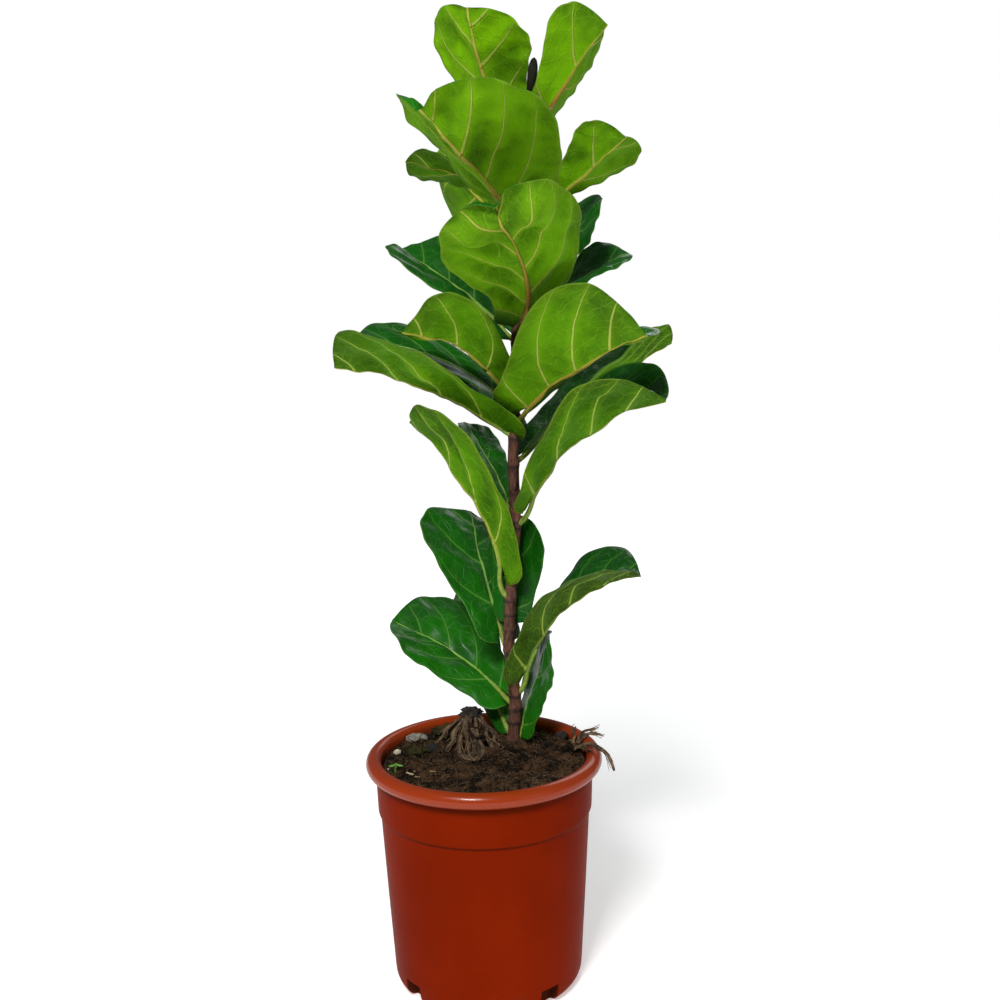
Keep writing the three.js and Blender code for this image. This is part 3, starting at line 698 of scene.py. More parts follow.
def tube(middles, radii, sides, squash=1.0):
    """Points and faces of a closed tube along the given middles."""
    middles = np.asarray(middles, dtype=float)
    along = np.gradient(middles, axis=0)
    along /= np.linalg.norm(along, axis=1, keepdims=True)
    side = np.array([0.31, 0.92, 0.24])
    turn = full_turn(sides)[:, None]
    points = []
    for middle, direction, radius in zip(middles, along, radii):
        side = side - direction * side.dot(direction)
        side = side / np.linalg.norm(side)
        other = np.cross(direction, side) * squash
        points.append(middle + radius * (side * np.cos(turn) + other * np.sin(turn)))
    points = np.concatenate(points + [middles[:1] - along[:1] * 0.4 * radii[0],
                                      middles[-1:] + along[-1:] * 0.6 * radii[-1]])
    return points, ring_faces(len(middles), sides) + end_faces(len(middles), sides)


print("faces of a tube of 3 rings of 8:", len(ring_faces(3, 8) + end_faces(3, 8)))

# %% [markdown]
# ## The leaves
# Each leaf is one closed skin: a grid of rows and columns for the upper face, one for the
# underside a little below it, and a rim of faces between them. The midrib stands out underneath.
# The stalk is a tapering tube that runs on under the blade, as it does on the plant, and there
# turns into the midrib.

# %% Make the leaves
ROWS, COLUMNS = 96, 49
HALF_THICK = 0.35  # of the blade, in millimetres


def make_leaf(leaf):
    """One leaf as an object: blade grid, rim faces and stalk, with its attributes."""
    rib = midrib(leaf)
    lap = np.pi * np.linspace(0, 1, ROWS)
    u = ((1 - np.cos(lap)) / 4 + lap / (2 * np.pi))[:, None]
    q = np.linspace(-1, 1, COLUMNS)
    t = (np.sign(q) * (0.25 * np.abs(q) + 0.75 * np.abs(q) ** 1.5))[None, :]
    place, normal, across = blade_surface(leaf, rib, u, t)
    u, t = np.broadcast_arrays(u, t)
    relief = fine_shape(leaf, u, t, across)
    place = place + normal * relief[..., None]
    thick = HALF_THICK * (1 - 0.5 * np.abs(t) ** 8)
    ridge = (1.7 * (1 - u) + 0.25) * np.exp(-(across / (1.1 + 0.9 * (1 - u))) ** 2)
    groove = 0.35 * np.exp(-(across / 1.6) ** 2) * (1 - u)
    top = place + normal * (thick - groove)[..., None]
    low = place - normal * (thick + ridge)[..., None]
    count = ROWS * COLUMNS
    faces = grid_faces(ROWS, COLUMNS, 0, flip=True) + grid_faces(ROWS, COLUMNS, count)
    slots = [0] * (len(faces) // 2) + [1] * (len(faces) // 2)
    edge = (list(range(COLUMNS)) + [r * COLUMNS + COLUMNS - 1 for r in range(1, ROWS)]
            + [(ROWS - 1) * COLUMNS + k for k in range(COLUMNS - 2, -1, -1)]
            + [r * COLUMNS for r in range(ROWS - 2, 0, -1)])
    for a, b in zip(edge, edge[1:] + edge[:1]):
        faces.append((a, b, b + count, a + count))
        slots.append(0)
    run = np.linspace(0, 1, 12)[:, None]
    begin_at = rib["start"] - 1.2 * heading(leaf["az"], 0)
    bend = rib["start"] + heading(leaf["az"], leaf["rise"] * 0.5) * leaf["stalk"] * 0.35
    curve = begin_at * (1 - run) ** 2 + bend * 2 * run * (1 - run) + rib["foot"] * run**2
    under_rib = [rib["place"][k] - rib["up"][k] * (0.9 + 0.1 * k) for k in (3, 6, 9)]
    middles = np.concatenate([curve[:-1], under_rib])
    radii = np.concatenate([2.45 - 0.4 * run[:-1, 0] + 0.8 * np.exp(-run[:-1, 0] * 7), [1.75, 1.35, 0.8]])
    stalk_points, stalk_faces = tube(middles, radii, 14)
    points = np.concatenate([top.reshape(-1, 3), low.reshape(-1, 3), stalk_points])
    faces += [tuple(2 * count + i for i in face) for face in stalk_faces]
    slots += [2] * len(stalk_faces)
    flat = np.stack([u * leaf["length"] * MM, across * MM, t], -1).reshape(-1, 3)
    blade = np.concatenate([flat, flat, np.zeros((len(stalk_points), 3))])
    total = len(points)
    values = {"blade": blade,
              "leaf_length": np.full(total, leaf["length"] * MM),
              "leaf_half": np.full(total, leaf["width"] / 2 * MM),
              "fresh": np.full(total, leaf["fresh"]),
              "warm": np.full(total, leaf["warm"]),
              "relief": np.concatenate([relief.ravel(), relief.ravel(), 0 * stalk_points[:, 0]])}
    made = closed_mesh(leaf["name"] + "_fine", points, faces, [upper, under, stalk_skin], slots, values)
    return finish_piece(made, leaf["name"])


fine_leaves = [make_leaf(leaf) for leaf in LEAVES]
print("leaf faces:", sum(len(made.data.polygons) for made in fine_leaves))

# %% [markdown]
# ## The nursery pot
# The pot is moulded plastic: a tapered wall, a step under the collar, a thick rolled rim
# and four drain notches in the foot. A turned profile gives all but the notches. Those are cut with
# a Boolean modifier, as a knife would, and the corners are shaded sharp only where they are sharp.

# %% Turn the profile and cut the notches
POT_SIDES = 168
RIM_R, RIM_TUBE, RIM_Z = 98.0, 7.0, 203.0
NOTCHES, NOTCH_FIRST = 4, -52  # how many, and the heading of the first in degrees
NOTCH_KNIFE = (0.03, 0.02, 0.038)  # metres deep, wide and tall; half of it is below the foot


def arc(centre_r, centre_z, radius, first, last, steps):
    """Points of a profile on an arc, angles in degrees from straight out."""
    a = np.radians(np.linspace(first, last, steps))
    return [(centre_r + radius * math.cos(k), centre_z + radius * math.sin(k)) for k in a]


def turned(profile, sides):
    """Points and faces of a profile of [radius, height] turned about the vertical axis."""
    profile = np.asarray(profile, dtype=float)
    turn = full_turn(sides)
    points = np.stack([profile[:, 0, None] * np.cos(turn), profile[:, 0, None] * np.sin(turn),
                       np.broadcast_to(profile[:, 1, None], (len(profile), sides))], -1)
    return points.reshape(-1, 3), ring_faces(len(profile), sides)


outer = [(0, 0), (40, 0), (73, 0)] + arc(73, 12, 11.8, -88, 0, 12)
outer += [(85.1, 15), (89, 80), (93.2, 156), (93.4, 158.2), (94.0, 159.2), (95.0, 160.0),
          (95.35, 161.0), (95.5, 164), (96.3, 188), (96.45, 192.5)]
rim = arc(RIM_R, RIM_Z, RIM_TUBE, -97, 158, 30)
inner = [(91.5, 199), (91.3, 196), (86.9, 110), (82.3, 31), (79, 25), (70, 22), (60, 4), (0, 4)]
points, faces = turned(outer + rim + inner, POT_SIDES)

pot_plastic, tree, shader, place = begin("pot_plastic")
pot = closed_mesh("nursery_pot", points, faces, [pot_plastic])
knife = bmesh.new()
for k in range(NOTCHES):
    around = math.radians(NOTCH_FIRST + 360 / NOTCHES * k)
    turn_knife = Matrix.Rotation(around, 4, "Z") @ Matrix.Translation((0.088, 0, 0))
    size = Matrix.Diagonal((*NOTCH_KNIFE, 1))
    bmesh.ops.create_cube(knife, size=1, matrix=turn_knife @ size)
bmesh.ops.bevel(knife, geom=knife.edges, offset=0.0012, segments=2, affect="EDGES", profile=0.5)
knife_mesh = bpy.data.meshes.new("notch_knife")
knife.to_mesh(knife_mesh)
knife.free()
knife_object = add_object("notch_knife", knife_mesh)
cut = pot.modifiers.new("notches", "BOOLEAN")
cut.operation, cut.solver, cut.object = "DIFFERENCE", "EXACT", knife_object


def bake_modifiers(made):
    """Turns the evaluated object into a plain mesh and drops its modifiers."""
    graph = bpy.context.evaluated_depsgraph_get()
    plain = bpy.data.meshes.new_from_object(made.evaluated_get(graph))
    made.modifiers.clear()
    made.data = plain
    return made


bake_modifiers(pot)
bpy.data.objects.remove(knife_object)
pot.data.shade_smooth()
pot.data.set_sharp_from_angle(angle=math.radians(38))
finish_piece(pot, "pot")
pot_top = max(v.co.z for v in pot.data.vertices)
print("pot faces:", len(pot.data.polygons), "height, mm:", round(pot_top / MM, 1))

# %% [markdown]
# The plastic is terracotta red with a satin skin. Moulding leaves fine rings and flow clouds,
# handling leaves pale scuffs, and the top of the rim is painted lighter as a painted highlight, under
# a glossy coat. Painted shade darkens the step under the collar, the band under the rim and the
# inside of the notches. Soil dust clings to the inner wall and, lightly, to the lowest centimetres
# outside.

# %% Pot plastic
px, py, pz = split(place)
reach = (px * px + py * py) ** 0.5
flow, fine = noise(place, 9, 3), noise(place, 900, 2)
scuffs = noise(stretched(place, 1.0, 1.0, 0.12), 130, 6, 0.7).ramp(0.66, 0.78)
grime = noise(place, 70, 5, 0.7)
rings = noise(stretched(place, 0.02, 0.02, 1.0), 420, 2)
rim_zone = pz.ramp(0.196, 0.2)
inside = pz.ramp(0.19, 0.196) * reach.ramp(0.0945, 0.0925)
collar_step_shade = pz.ramp(0.1575, 0.1587) * pz.ramp(0.1612, 0.1603)
under_rim_shade = pz.ramp(0.186, 0.194) * pz.ramp(0.2005, 0.1975)
corner = ((reach - 0.073) ** 2 + (pz - 0.012) ** 2) ** 0.5
notch_shade = corner.ramp(0.0112, 0.0102) * pz.ramp(0.0206, 0.0194) * pz.ramp(-0.001, 0.0005)
colour = layered(
    mixed(flow.ramp(0.3, 0.7), (0.172, 0.0106, 0.0006), (0.217, 0.0138, 0.0008)),
    # painted shade in the step under the collar and in the band under the rim
    (collar_step_shade * 0.62 + under_rim_shade * 0.6, (0.045, 0.006, 0.001)),
    # painted highlight: the top of the rim is painted lighter; its coat is a real gloss
    (rim_zone * 0.7, (0.33, 0.04, 0.006)),
    (scuffs * 0.1, (0.33, 0.09, 0.04)),
    # soil dust inside and at the foot, and painted shade inside the notches
    (inside * grime.ramp(0.4, 0.6) * pz.ramp(0.207, 0.2), (0.045, 0.026, 0.015)),
    (pz.ramp(0.03, 0.0) * grime.ramp(0.48, 0.7) * 0.4, (0.09, 0.045, 0.025)),
    (notch_shade * reach.ramp(0.0722, 0.0727) * 0.8, (0.03, 0.012, 0.006)))
height = rings * 0.25 + fine * 0.35 + flow * 0.8 + scuffs * 0.1
feed(shader, Base_Color=colour, Roughness=0.36 + scuffs * 0.2 + flow * 0.1 + inside * 0.3,
     Normal=bump(height, 0.0005), Coat_Weight=rim_zone * 0.55, Coat_Roughness=0.2,
     Specular_IOR_Level=0.01)
print("pot plastic nodes:", len(tree.nodes))

# %% [markdown]
# ## The stem
# The stem is brown wood ringed by old leaf scars. It could be a curve with a bevel, but the swollen
# nodes and the scars need their own radius at each height, so we stack rings along the same
# line: a little thicker at each leaf, with a raised lip just under it.

# %% Shape of the stem
STEM_SIDES, STEM_STEP = 26, 1.1
stem_z = np.arange(151.0, 775.6, STEM_STEP)
middle, girth = stem_at(stem_z)
turn = full_turn(STEM_SIDES)
swell = np.ones((len(stem_z), STEM_SIDES))
scar_heights = [leaf["z"] - 2.5 for leaf in LEAVES] + [224, 275, 327, 380, 438]
for k, height_of_scar in enumerate(scar_heights):
    away = stem_z[:, None] - height_of_scar - 0.7 * np.sin(turn + k)[None, :]
    lip = 0.04 + 0.09 * ((k * 7) % 5) / 4
    swell += lip * np.exp(-(away / 2.4) ** 2) + 0.05 * np.exp(-(away / 5) ** 2)
swell += 0.022 * np.sin(stem_z[:, None] / 9 + 2 * turn) + 0.018 * np.sin(7 * turn + stem_z[:, None] / 31)
reach_out = (girth[:, None] * swell)[..., None]
ring_points = middle[:, None, :] + reach_out * np.stack([np.cos(turn), np.sin(turn), 0 * turn], -1)
points = np.concatenate([ring_points.reshape(-1, 3), middle[:1] - [0, 0, 1.2], middle[-1:] + [0, 0, 0.6]])
faces = ring_faces(len(stem_z), STEM_SIDES) + end_faces(len(stem_z), STEM_SIDES)
print("rings of the stem:", len(stem_z))

# %% [markdown]
# The bark is reddish brown with pale cracks drawn out along the stem. The scars are nearly black,
# and the youngest wood at the top is still greenish.

# %% Bark
stem_bark, tree, shader, place = begin("stem_bark")
cracks = noise(stretched(place, 1.0, 1.0, 0.14), 900, 5, 0.65)
patches, corky = noise(place, 110, 4), noise(place, 520, 3)
colour = layered(
    mixed(patches.ramp(0.35, 0.65), (0.062, 0.017, 0.009), (0.135, 0.044, 0.022)),
    (cracks.ramp(0.5, 0.66) * 0.8, (0.2, 0.105, 0.062)),
    (cracks.ramp(0.46, 0.34) * 0.8, (0.018, 0.008, 0.006)),
    (attribute(tree, "scar") * patches.ramp(0.36, 0.52) * 0.9, (0.016, 0.008, 0.007)),
    (split(place)[2].ramp(0.56, 0.7) * 0.75, (0.1, 0.12, 0.03)))
feed(shader, Base_Color=colour, Roughness=0.68 + patches * 0.2,
     Normal=bump(cracks * 0.8 + corky * 0.4, 0.0012))
away = np.min(np.abs(stem_z[:, None] + 2.2 - np.array(scar_heights)[None, :]), axis=1)
scar_value = np.repeat(np.exp(-(away / 1.9) ** 2), STEM_SIDES)
stem = closed_mesh("woody_stem", points, faces, [stem_bark],
                   values={"scar": np.concatenate([scar_value, [0, 0]])})
finish_piece(stem, "stem")
print("stem faces:", len(stem.data.polygons), "scars:", len(scar_heights))

# %% [markdown]
# ## Sheath and husks
# Each new leaf is wrapped in a papery brown sheath. One stands at the tip of the stem, round the
# next bud, and dry remains cling lower down. A tube with a creased outline is enough, because its
# lengthwise pleats come from letting the radius wave round the tube.

# %% Papery finish and smooth paths
husk_paper, tree, shader, place = begin("husk_paper")
fibres = noise(stretched(place, 1.0, 1.0, 0.2), 1100, 4)
blots = noise(place, 160, 3)
at_tip = split(place)[2].ramp(0.76, 0.77)
colour = layered(
    mixed(blots.ramp(0.35, 0.7), (0.018, 0.01, 0.007), (0.07, 0.034, 0.018)),
    (fibres.ramp(0.5, 0.65) * 0.6, (0.15, 0.085, 0.045)),
    (at_tip * 0.85, (0.006, 0.01, 0.004)))
feed(shader, Base_Color=colour, Roughness=0.6 + blots * 0.25, Normal=bump(fibres, 0.0008),
     Specular_IOR_Level=0.15)


def smooth_path(through, steps):
    """A smooth curve through a few points, as Catmull and Rom draw it."""
    p = np.asarray(through, dtype=float)
    p = np.concatenate([[2 * p[0] - p[1]], p, [2 * p[-1] - p[-2]]])
    at = np.linspace(0, len(p) - 3, steps)
    i = np.minimum(at.astype(int), len(p) - 4)
    t = (at - i)[:, None]
    a, b, c, d = p[i], p[i + 1], p[i + 2], p[i + 3]
    return 0.5 * (2 * b + (c - a) * t + (2 * a - 5 * b + 4 * c - d) * t**2
                  + (3 * b - a - 3 * c + d) * t**3)


print("papery finish nodes:", len(tree.nodes))

# %% [markdown]
# The bud widens slowly and rounds off at the top. The husks taper to a point,
# and each leans away from the stem.

# %% Bud sheath and husks
PLEATS, PLEAT_DEPTH = 5, 0.09


def papery(name, node_name, through, width, squash, sides=28, steps=40):
    """A pleated tube along a smooth path, with width(share along) as its radius."""
    middles = smooth_path(through, steps)
    points, faces = tube(middles, width(np.linspace(0, 1, steps)), sides, squash)
    rings = points[:-2].reshape(steps, sides, 3)
    wave = 1 + PLEAT_DEPTH * np.sin(PLEATS * full_turn(sides))
    rings = middles[:, None] + (rings - middles[:, None]) * wave[None, :, None]
    points = np.concatenate([rings.reshape(-1, 3), points[-2:]])
    return finish_piece(closed_mesh(name, points, faces, [husk_paper]), node_name)


def bud_width(run):
    rounding = np.clip((run - 0.55) / 0.47, 0, 1)
    return 0.5 + 5.0 * np.sqrt(np.clip(1 - rounding ** 2, 0, 1)) * (0.72 + 0.28 * run)


papery("sheath_of_top_bud", "bud_sheath", [(52.2, 9.9, 773.5), (53.4, 9.5, 786), (55.4, 8.6, 801)],
       bud_width, 0.8)
for name, z, az, size, width in [
        ("husk_low_right", 250, -125, 12, 6), ("husk_low_left", 362, -60, 13, 5),
        ("husk_middle_right", 441, -75, 12, 5)]:
    centre, radius = stem_at(z)
    out = heading(az, 0)
    foot = centre + out * (radius + 0.2)
    path = [foot, foot + out * 2.2 + [0, 0, size * 0.4], foot + out * 5 + [0, 0, size]]
    papery(name + "_paper", name, path, lambda run: 0.3 * width * (1 - run) ** 0.7 + 0.3, 0.6, 20, 24)
print("papery pieces: 4")

# %% [markdown]
# ## Soil
# Potting soil is a dark, loose mix. The body of it is one closed form: the filled inside of the pot
# under a lumpy top. Its height follows the frame's low mound, with finer unevenness added.

# %% Body of the soil
SOIL_EDGE = 199.5
SOIL_SIDES = 168


def soil_height(x, y):
    """Height of the soil in millimetres: a low mound round the stem, lowest along the wall."""
    mound = 4.5 * np.exp(-((x - 20) ** 2 + (y - 30) ** 2) / 42**2)
    uneven = 0.9 * np.sin(x / 11 + 1) * np.cos(y / 9) + 0.7 * np.sin((x + 2 * y) / 17)
    return SOIL_EDGE + mound + uneven * (1 - np.maximum(0, np.hypot(x, y) - 78) / 12)


def rough(points, size, depth, shift=0.0):
    """Lumpy noise in millimetres at each point; size is that of the lumps."""
    return np.array([lumps.fractal(Vector(p) / size + Vector((shift, 0, 0)), 0.8, 2.2, 4)
                     for p in points]) * depth


turn = full_turn(SOIL_SIDES)
low_profile = [(59.5, 4.6), (69.5, 22.6), (78.5, 25.7), (81.5, 31.8), (90.5, 197.2)]
top_reach = np.concatenate([[89.6], np.linspace(88.6, 2.0, 66)])
low_rings = [np.stack([r * np.cos(turn), r * np.sin(turn), z + 0 * turn], -1) for r, z in low_profile]
top_x, top_y = (top_reach[:, None] * f(turn)[None, :] for f in (np.cos, np.sin))
top = np.stack([top_x, top_y, soil_height(top_x, top_y)], -1).reshape(-1, 3)
calm = np.clip((91 - np.hypot(top[:, 0], top[:, 1])) / 6, 0.15, 1)
top[:, 2] += rough(top, 9, 1.7) * calm + rough(top, 3, 0.9, 7.0) * calm
points = np.concatenate([np.concatenate(low_rings), top, [[0, 0, 4.6], [0, 0, top[-1, 2]]]])
ring_count = len(low_profile) + len(top_reach)
faces = ring_faces(ring_count, SOIL_SIDES) + end_faces(ring_count, SOIL_SIDES)
print("soil mound from", round(top[:, 2].min(), 1), "to", round(top[:, 2].max(), 1), "mm")

# %% [markdown]
# Dry crusts are brown, damp hollows almost black, and there are strands of pale coir. Two noises at
# different scales keep it from looking like one repeated pattern.

# %% Soil finish
def earth(name, dark, brown, pale, size=1.0):
    """A crumbly finish from three browns."""
    material, tree, shader, place = begin(name)
    patches = noise(place, 46 / size, 6, 0.62)
    grains = noise(place, 420 / size, 6, 0.7)
    flecks = noise(place, 900 / size, 3)
    colour = layered(
        mixed(patches.ramp(0.42, 0.6), dark, brown),
        (grains.ramp(0.54, 0.7) * 0.75, pale),
        (grains.ramp(0.44, 0.34) * 0.8, [c * 0.3 for c in dark]))
    feed(shader, Base_Color=colour, Roughness=0.82 + flecks * 0.18,
         Normal=bump(grains * 0.8 + flecks * 0.3, 0.003), Specular_IOR_Level=0.1)
    return material


DAMP = (0.008, 0.005, 0.0035)
soil_finish = earth("potting_soil", DAMP, (0.068, 0.034, 0.016), (0.19, 0.112, 0.052))
crumb_finish = earth("soil_crumbs", DAMP, (0.085, 0.044, 0.021), (0.24, 0.145, 0.068), 0.7)
moss_finish = earth("mossy_soil", (0.01, 0.009, 0.004), (0.05, 0.045, 0.016), (0.19, 0.14, 0.06), 0.8)
soil = closed_mesh("soil_body", points, faces, [soil_finish])
finish_piece(soil, "soil")
print("soil faces:", len(soil.data.polygons))

# %% [markdown]
# ## Crumbs, fibres and grit with Geometry Nodes
# Thousands of crumbs lie on the soil. Nobody would place them one by one: a Geometry Nodes tree
# scatters points over the top and puts a small lump on each, turned and sized at random from a
# fixed seed. The tree has named inputs, so the same one makes fine crumbs, coarse crumbs and grit.

# %% Helpers for Geometry Nodes
def new_tree(name, inputs):
    """A Geometry Nodes tree with a geometry in and out and the named inputs, as Flows."""
    tree = bpy.data.node_groups.new(name, "GeometryNodeTree")
    tree.interface.new_socket("Geometry", in_out="OUTPUT", socket_type="NodeSocketGeometry")
    tree.interface.new_socket("Geometry", in_out="INPUT", socket_type="NodeSocketGeometry")
    for key, kind in inputs:
        tree.interface.new_socket(key, in_out="INPUT", socket_type="NodeSocket" + kind)
    start = tree.nodes.new("NodeGroupInput")
    return tree, {s.name: Flow(tree, s) for s in start.outputs if s.name}


def end_tree(tree, geometry, material):
    """Realizes the instances, sets the material and ends the tree."""
    real = node(tree, "GeometryNodeRealizeInstances", want="Geometry", Geometry=geometry)
    painted = node(tree, "GeometryNodeSetMaterial", want="Geometry", Geometry=real, Material=material)
    end = tree.nodes.new("NodeGroupOutput")
    tree.links.new(painted.out, end.inputs[0])
    return tree


def grow(name, base_mesh, tree, values):
    """Runs the tree on a mesh and returns the result as a plain object."""
    made = add_object(name, base_mesh)
    modifier = made.modifiers.new("grow", "NODES")
    modifier.node_group = tree
    for item in tree.interface.items_tree:
        if item.in_out == "INPUT" and item.name in values:
            modifier[item.identifier] = values[item.name]
    bake_modifiers(made)
    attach(made, "root")
    print(name, "has", len(made.data.polygons), "faces")
    return made


def random_flow(tree, kind, low, high, seed):
    """A random value on each point, from a fixed seed."""
    place = {"FLOAT": "_001", "FLOAT_VECTOR": ""}[kind]
    return node(tree, "FunctionNodeRandomValue", {"data_type": kind}, want="Value" + place,
                **{"Min" + place: low, "Max" + place: high, "Seed": seed})


print("helpers ready")

# %% [markdown]
# The scatter tree puts points on the faces, a small ball on each point, and then turns, squashes
# and sinks the balls. Once they are real points, noise pushes them about, so no two look alike.

# %% Scatter tree
scatter, given = new_tree("scatter_lumps", [
    ("Density", "Float"), ("Smallest", "Float"), ("Largest", "Float"), ("Seed", "Int"),
    ("Sink", "Float"), ("Finish", "Material")])
spread = scatter.nodes.new("GeometryNodeDistributePointsOnFaces")
spread.distribute_method = "RANDOM"
for key, flow in (("Mesh", given["Geometry"]), ("Density", given["Density"]), ("Seed", given["Seed"])):
    socket = [s for s in spread.inputs if s.identifier == key][0]
    scatter.links.new(flow.out, socket)
grain = node(scatter, "GeometryNodeMeshIcoSphere", want="Mesh", Radius=1.0, Subdivisions=1)
share = random_flow(scatter, "FLOAT", 0.0, 1.0, given["Seed"])
size = given["Smallest"] + (given["Largest"] - given["Smallest"]) * share ** 3
shape = random_flow(scatter, "FLOAT_VECTOR", (0.7, 0.55, 0.4), (1.35, 1.0, 0.85), 3)
scale = node(scatter, "ShaderNodeVectorMath", {"operation": "SCALE"}, want="Vector",
             Vector=shape, Scale=size)
spin = node(scatter, "FunctionNodeEulerToRotation", want="Rotation",
            Euler=random_flow(scatter, "FLOAT_VECTOR", (0, 0, 0), (6.283, 6.283, 6.283), 5))
sunk = node(scatter, "ShaderNodeCombineXYZ", want="Vector", Z=size * given["Sink"])
lowered = node(scatter, "GeometryNodeSetPosition", want="Geometry",
               Geometry=Flow(scatter, spread.outputs["Points"]), Offset=sunk)
placed = node(scatter, "GeometryNodeInstanceOnPoints", want="Instances", Points=lowered,
              Instance=grain, Rotation=spin, Scale=scale)
real = node(scatter, "GeometryNodeRealizeInstances", want="Geometry", Geometry=placed)
wild = node(scatter, "ShaderNodeTexNoise", {"noise_dimensions": "3D"}, want="Color",
            Vector=node(scatter, "GeometryNodeInputPosition", want="Position"), Scale=300.0, Detail=2.0)
centred = node(scatter, "ShaderNodeVectorMath", {"operation": "SUBTRACT"}, want="Vector",
               Vector=wild, Vector_001=(0.5, 0.5, 0.5))
push = node(scatter, "ShaderNodeVectorMath", {"operation": "SCALE"}, want="Vector",
            Vector=centred, Scale=given["Largest"] * 0.9)
rugged = node(scatter, "GeometryNodeSetPosition", want="Geometry", Geometry=real, Offset=push)
end_tree(scatter, rugged, given["Finish"])
print("scatter tree nodes:", len(scatter.nodes))

# %% [markdown]
# The same tree runs three times: a dense cover of fine crumbs, fewer coarse ones sunk a quarter of
# their size, and a little pale grit on top.

# %% Scatter the crumbs
def soil_patch(rings=30, sides=72, reach=87.5, lift=0.3):
    """A bare mesh just above the top of the soil, for points to lie on."""
    ring, turn = np.linspace(reach, 1.0, rings), full_turn(sides)
    x, y = ring[:, None] * np.cos(turn), ring[:, None] * np.sin(turn)
    cover = np.stack([x, y, soil_height(x, y) + lift], -1).reshape(-1, 3)
    mesh = bpy.data.meshes.new("soil_patch")
    mesh.from_pydata([tuple(p) for p in cover * MM], [], ring_faces(rings, sides))
    return mesh


def grit_finish(name, low, high, roughness=0.8):
    """A mineral skin: cloudy between two colours."""
    material, tree, shader, place = begin(name)
    cloud = noise(place, 350, 4)
    feed(shader, Base_Color=mixed(cloud.ramp(0.35, 0.65), low, high), Roughness=roughness,
         Normal=bump(cloud, 0.001))
    return material


grit = grit_finish("pale_grit", (0.3, 0.26, 0.2), (0.7, 0.66, 0.58))
for name, density, smallest, largest, seed, sink, finish in [
        ("fine_crumbs", 200000, 0.0006, 0.0026, 11, 0.0, crumb_finish),
        ("coarse_crumbs", 36000, 0.0014, 0.0078, 12, -0.25, crumb_finish),
        ("grit_specks", 900, 0.0004, 0.0013, 13, 0.3, grit)]:
    made = grow(name, soil_patch(), scatter, {"Density": density, "Smallest": smallest, "Seed": seed,
                                              "Largest": largest, "Sink": sink, "Finish": finish})

# %% [markdown]
# Fibres, roots and twigs all follow a path with a changing thickness. One more tree serves them
# all: it takes bare edges, turns them into curves, and sweeps a small ring along them, as wide as
# the girth stored on each point.

# %% Strand tree
strand_tree, given = new_tree("sweep_strands", [("Sides", "Int"), ("Finish", "Material")])
paths = node(strand_tree, "GeometryNodeMeshToCurve", want="Curve", Mesh=given["Geometry"])
ring = node(strand_tree, "GeometryNodeCurvePrimitiveCircle", {"mode": "RADIUS"}, want="Curve",
            Resolution=given["Sides"], Radius=1.0)
thick = node(strand_tree, "GeometryNodeInputNamedAttribute", {"data_type": "FLOAT"},
             want="Attribute", Name="girth")
swept = node(strand_tree, "GeometryNodeCurveToMesh", want="Mesh", Curve=paths, Profile_Curve=ring,
             Scale=thick, Fill_Caps=True)
smooth = node(strand_tree, "GeometryNodeSetShadeSmooth", want="Geometry", Geometry=swept)
end_tree(strand_tree, smooth, given["Finish"])


def sweep_strands(name, strands, sides, finish):
    """strands: (points in millimetres, radii in millimetres) for each strand."""
    points, edges, girth = [], [], []
    for path, radii in strands:
        first = len(points)
        points += [tuple(p) for p in np.asarray(path) * MM]
        edges += [(first + k, first + k + 1) for k in range(len(path) - 1)]
        girth += list(np.asarray(radii) * MM)
    mesh = bpy.data.meshes.new(name)
    mesh.from_pydata(points, edges, [])
    field = mesh.attributes.new("girth", "FLOAT", "POINT")
    field.data.foreach_set("value", np.asarray(girth, dtype=np.float32))
    return grow(name, mesh, strand_tree, {"Sides": sides, "Finish": finish})


def fibre_finish(name, dark, light, scale=500):
    """Dry plant fibre: streaked between two browns."""
    material, tree, shader, place = begin(name)
    streak, patch = noise(place, scale, 5, 0.65), noise(place, scale / 8, 3)
    colour = mixed((streak * 0.6 + patch * 0.5).ramp(0.42, 0.68), dark, light)
    feed(shader, Base_Color=colour, Roughness=0.75 + streak * 0.2, Normal=bump(streak, 0.001))
    return material


print("strand tree nodes:", len(strand_tree.nodes))

# %% [markdown]
# About six hundred coir fibres lie on the soil. Each starts anywhere in the pot, bends one way and lifts
# a little in the middle. Those that would pass the wall are drawn back inside it.

# %% Coir fibres on the soil
FIBRES = 620
dice = np.random.default_rng(5)
coir = fibre_finish("coir_fibre", (0.05, 0.03, 0.016), (0.24, 0.16, 0.085))
fibres = []
for _ in range(FIBRES):
    r, a = 86 * math.sqrt(dice.random()), dice.random() * 2 * math.pi
    x, y = r * math.cos(a), r * math.sin(a)
    size, way = dice.uniform(4, 17), dice.random() * 2 * math.pi
    bend, lift = dice.uniform(-1.6, 1.6), dice.uniform(0.2, 3.0)
    s = np.linspace(0, 1, 7)
    heading_here = way + bend * s
    px = x + np.cumsum(np.cos(heading_here)) * size / 7
    py = y + np.cumsum(np.sin(heading_here)) * size / 7
    keep = 1 / np.maximum(1, np.hypot(px, py) / 88.5)
    px, py = px * keep, py * keep
    pz = soil_height(px, py) + 0.7 + lift * np.sin(np.pi * s) ** 2
    fibres.append((np.stack([px, py, pz], -1), dice.uniform(0.1, 0.3) * (1 - 0.5 * s)))
sweep_strands("coir_fibres", fibres, 3, coir)
print("fibres:", len(fibres))

# %% [markdown]
# ## Roots and twigs
# Behind the stem a tuft of dried roots stands up round a black knot of bark, and at the right edge
# more roots climb over the rim. Each main root is drawn first, then seven to ten thin ones follow
# it with a small random offset, which gives the matted look of real roots.

# %% Root tuft
root_bark = fibre_finish("root_bark", (0.024, 0.014, 0.009), (0.21, 0.13, 0.062), 380)
charred = fibre_finish("black_bark", (0.004, 0.0032, 0.003), (0.03, 0.02, 0.014), 300)


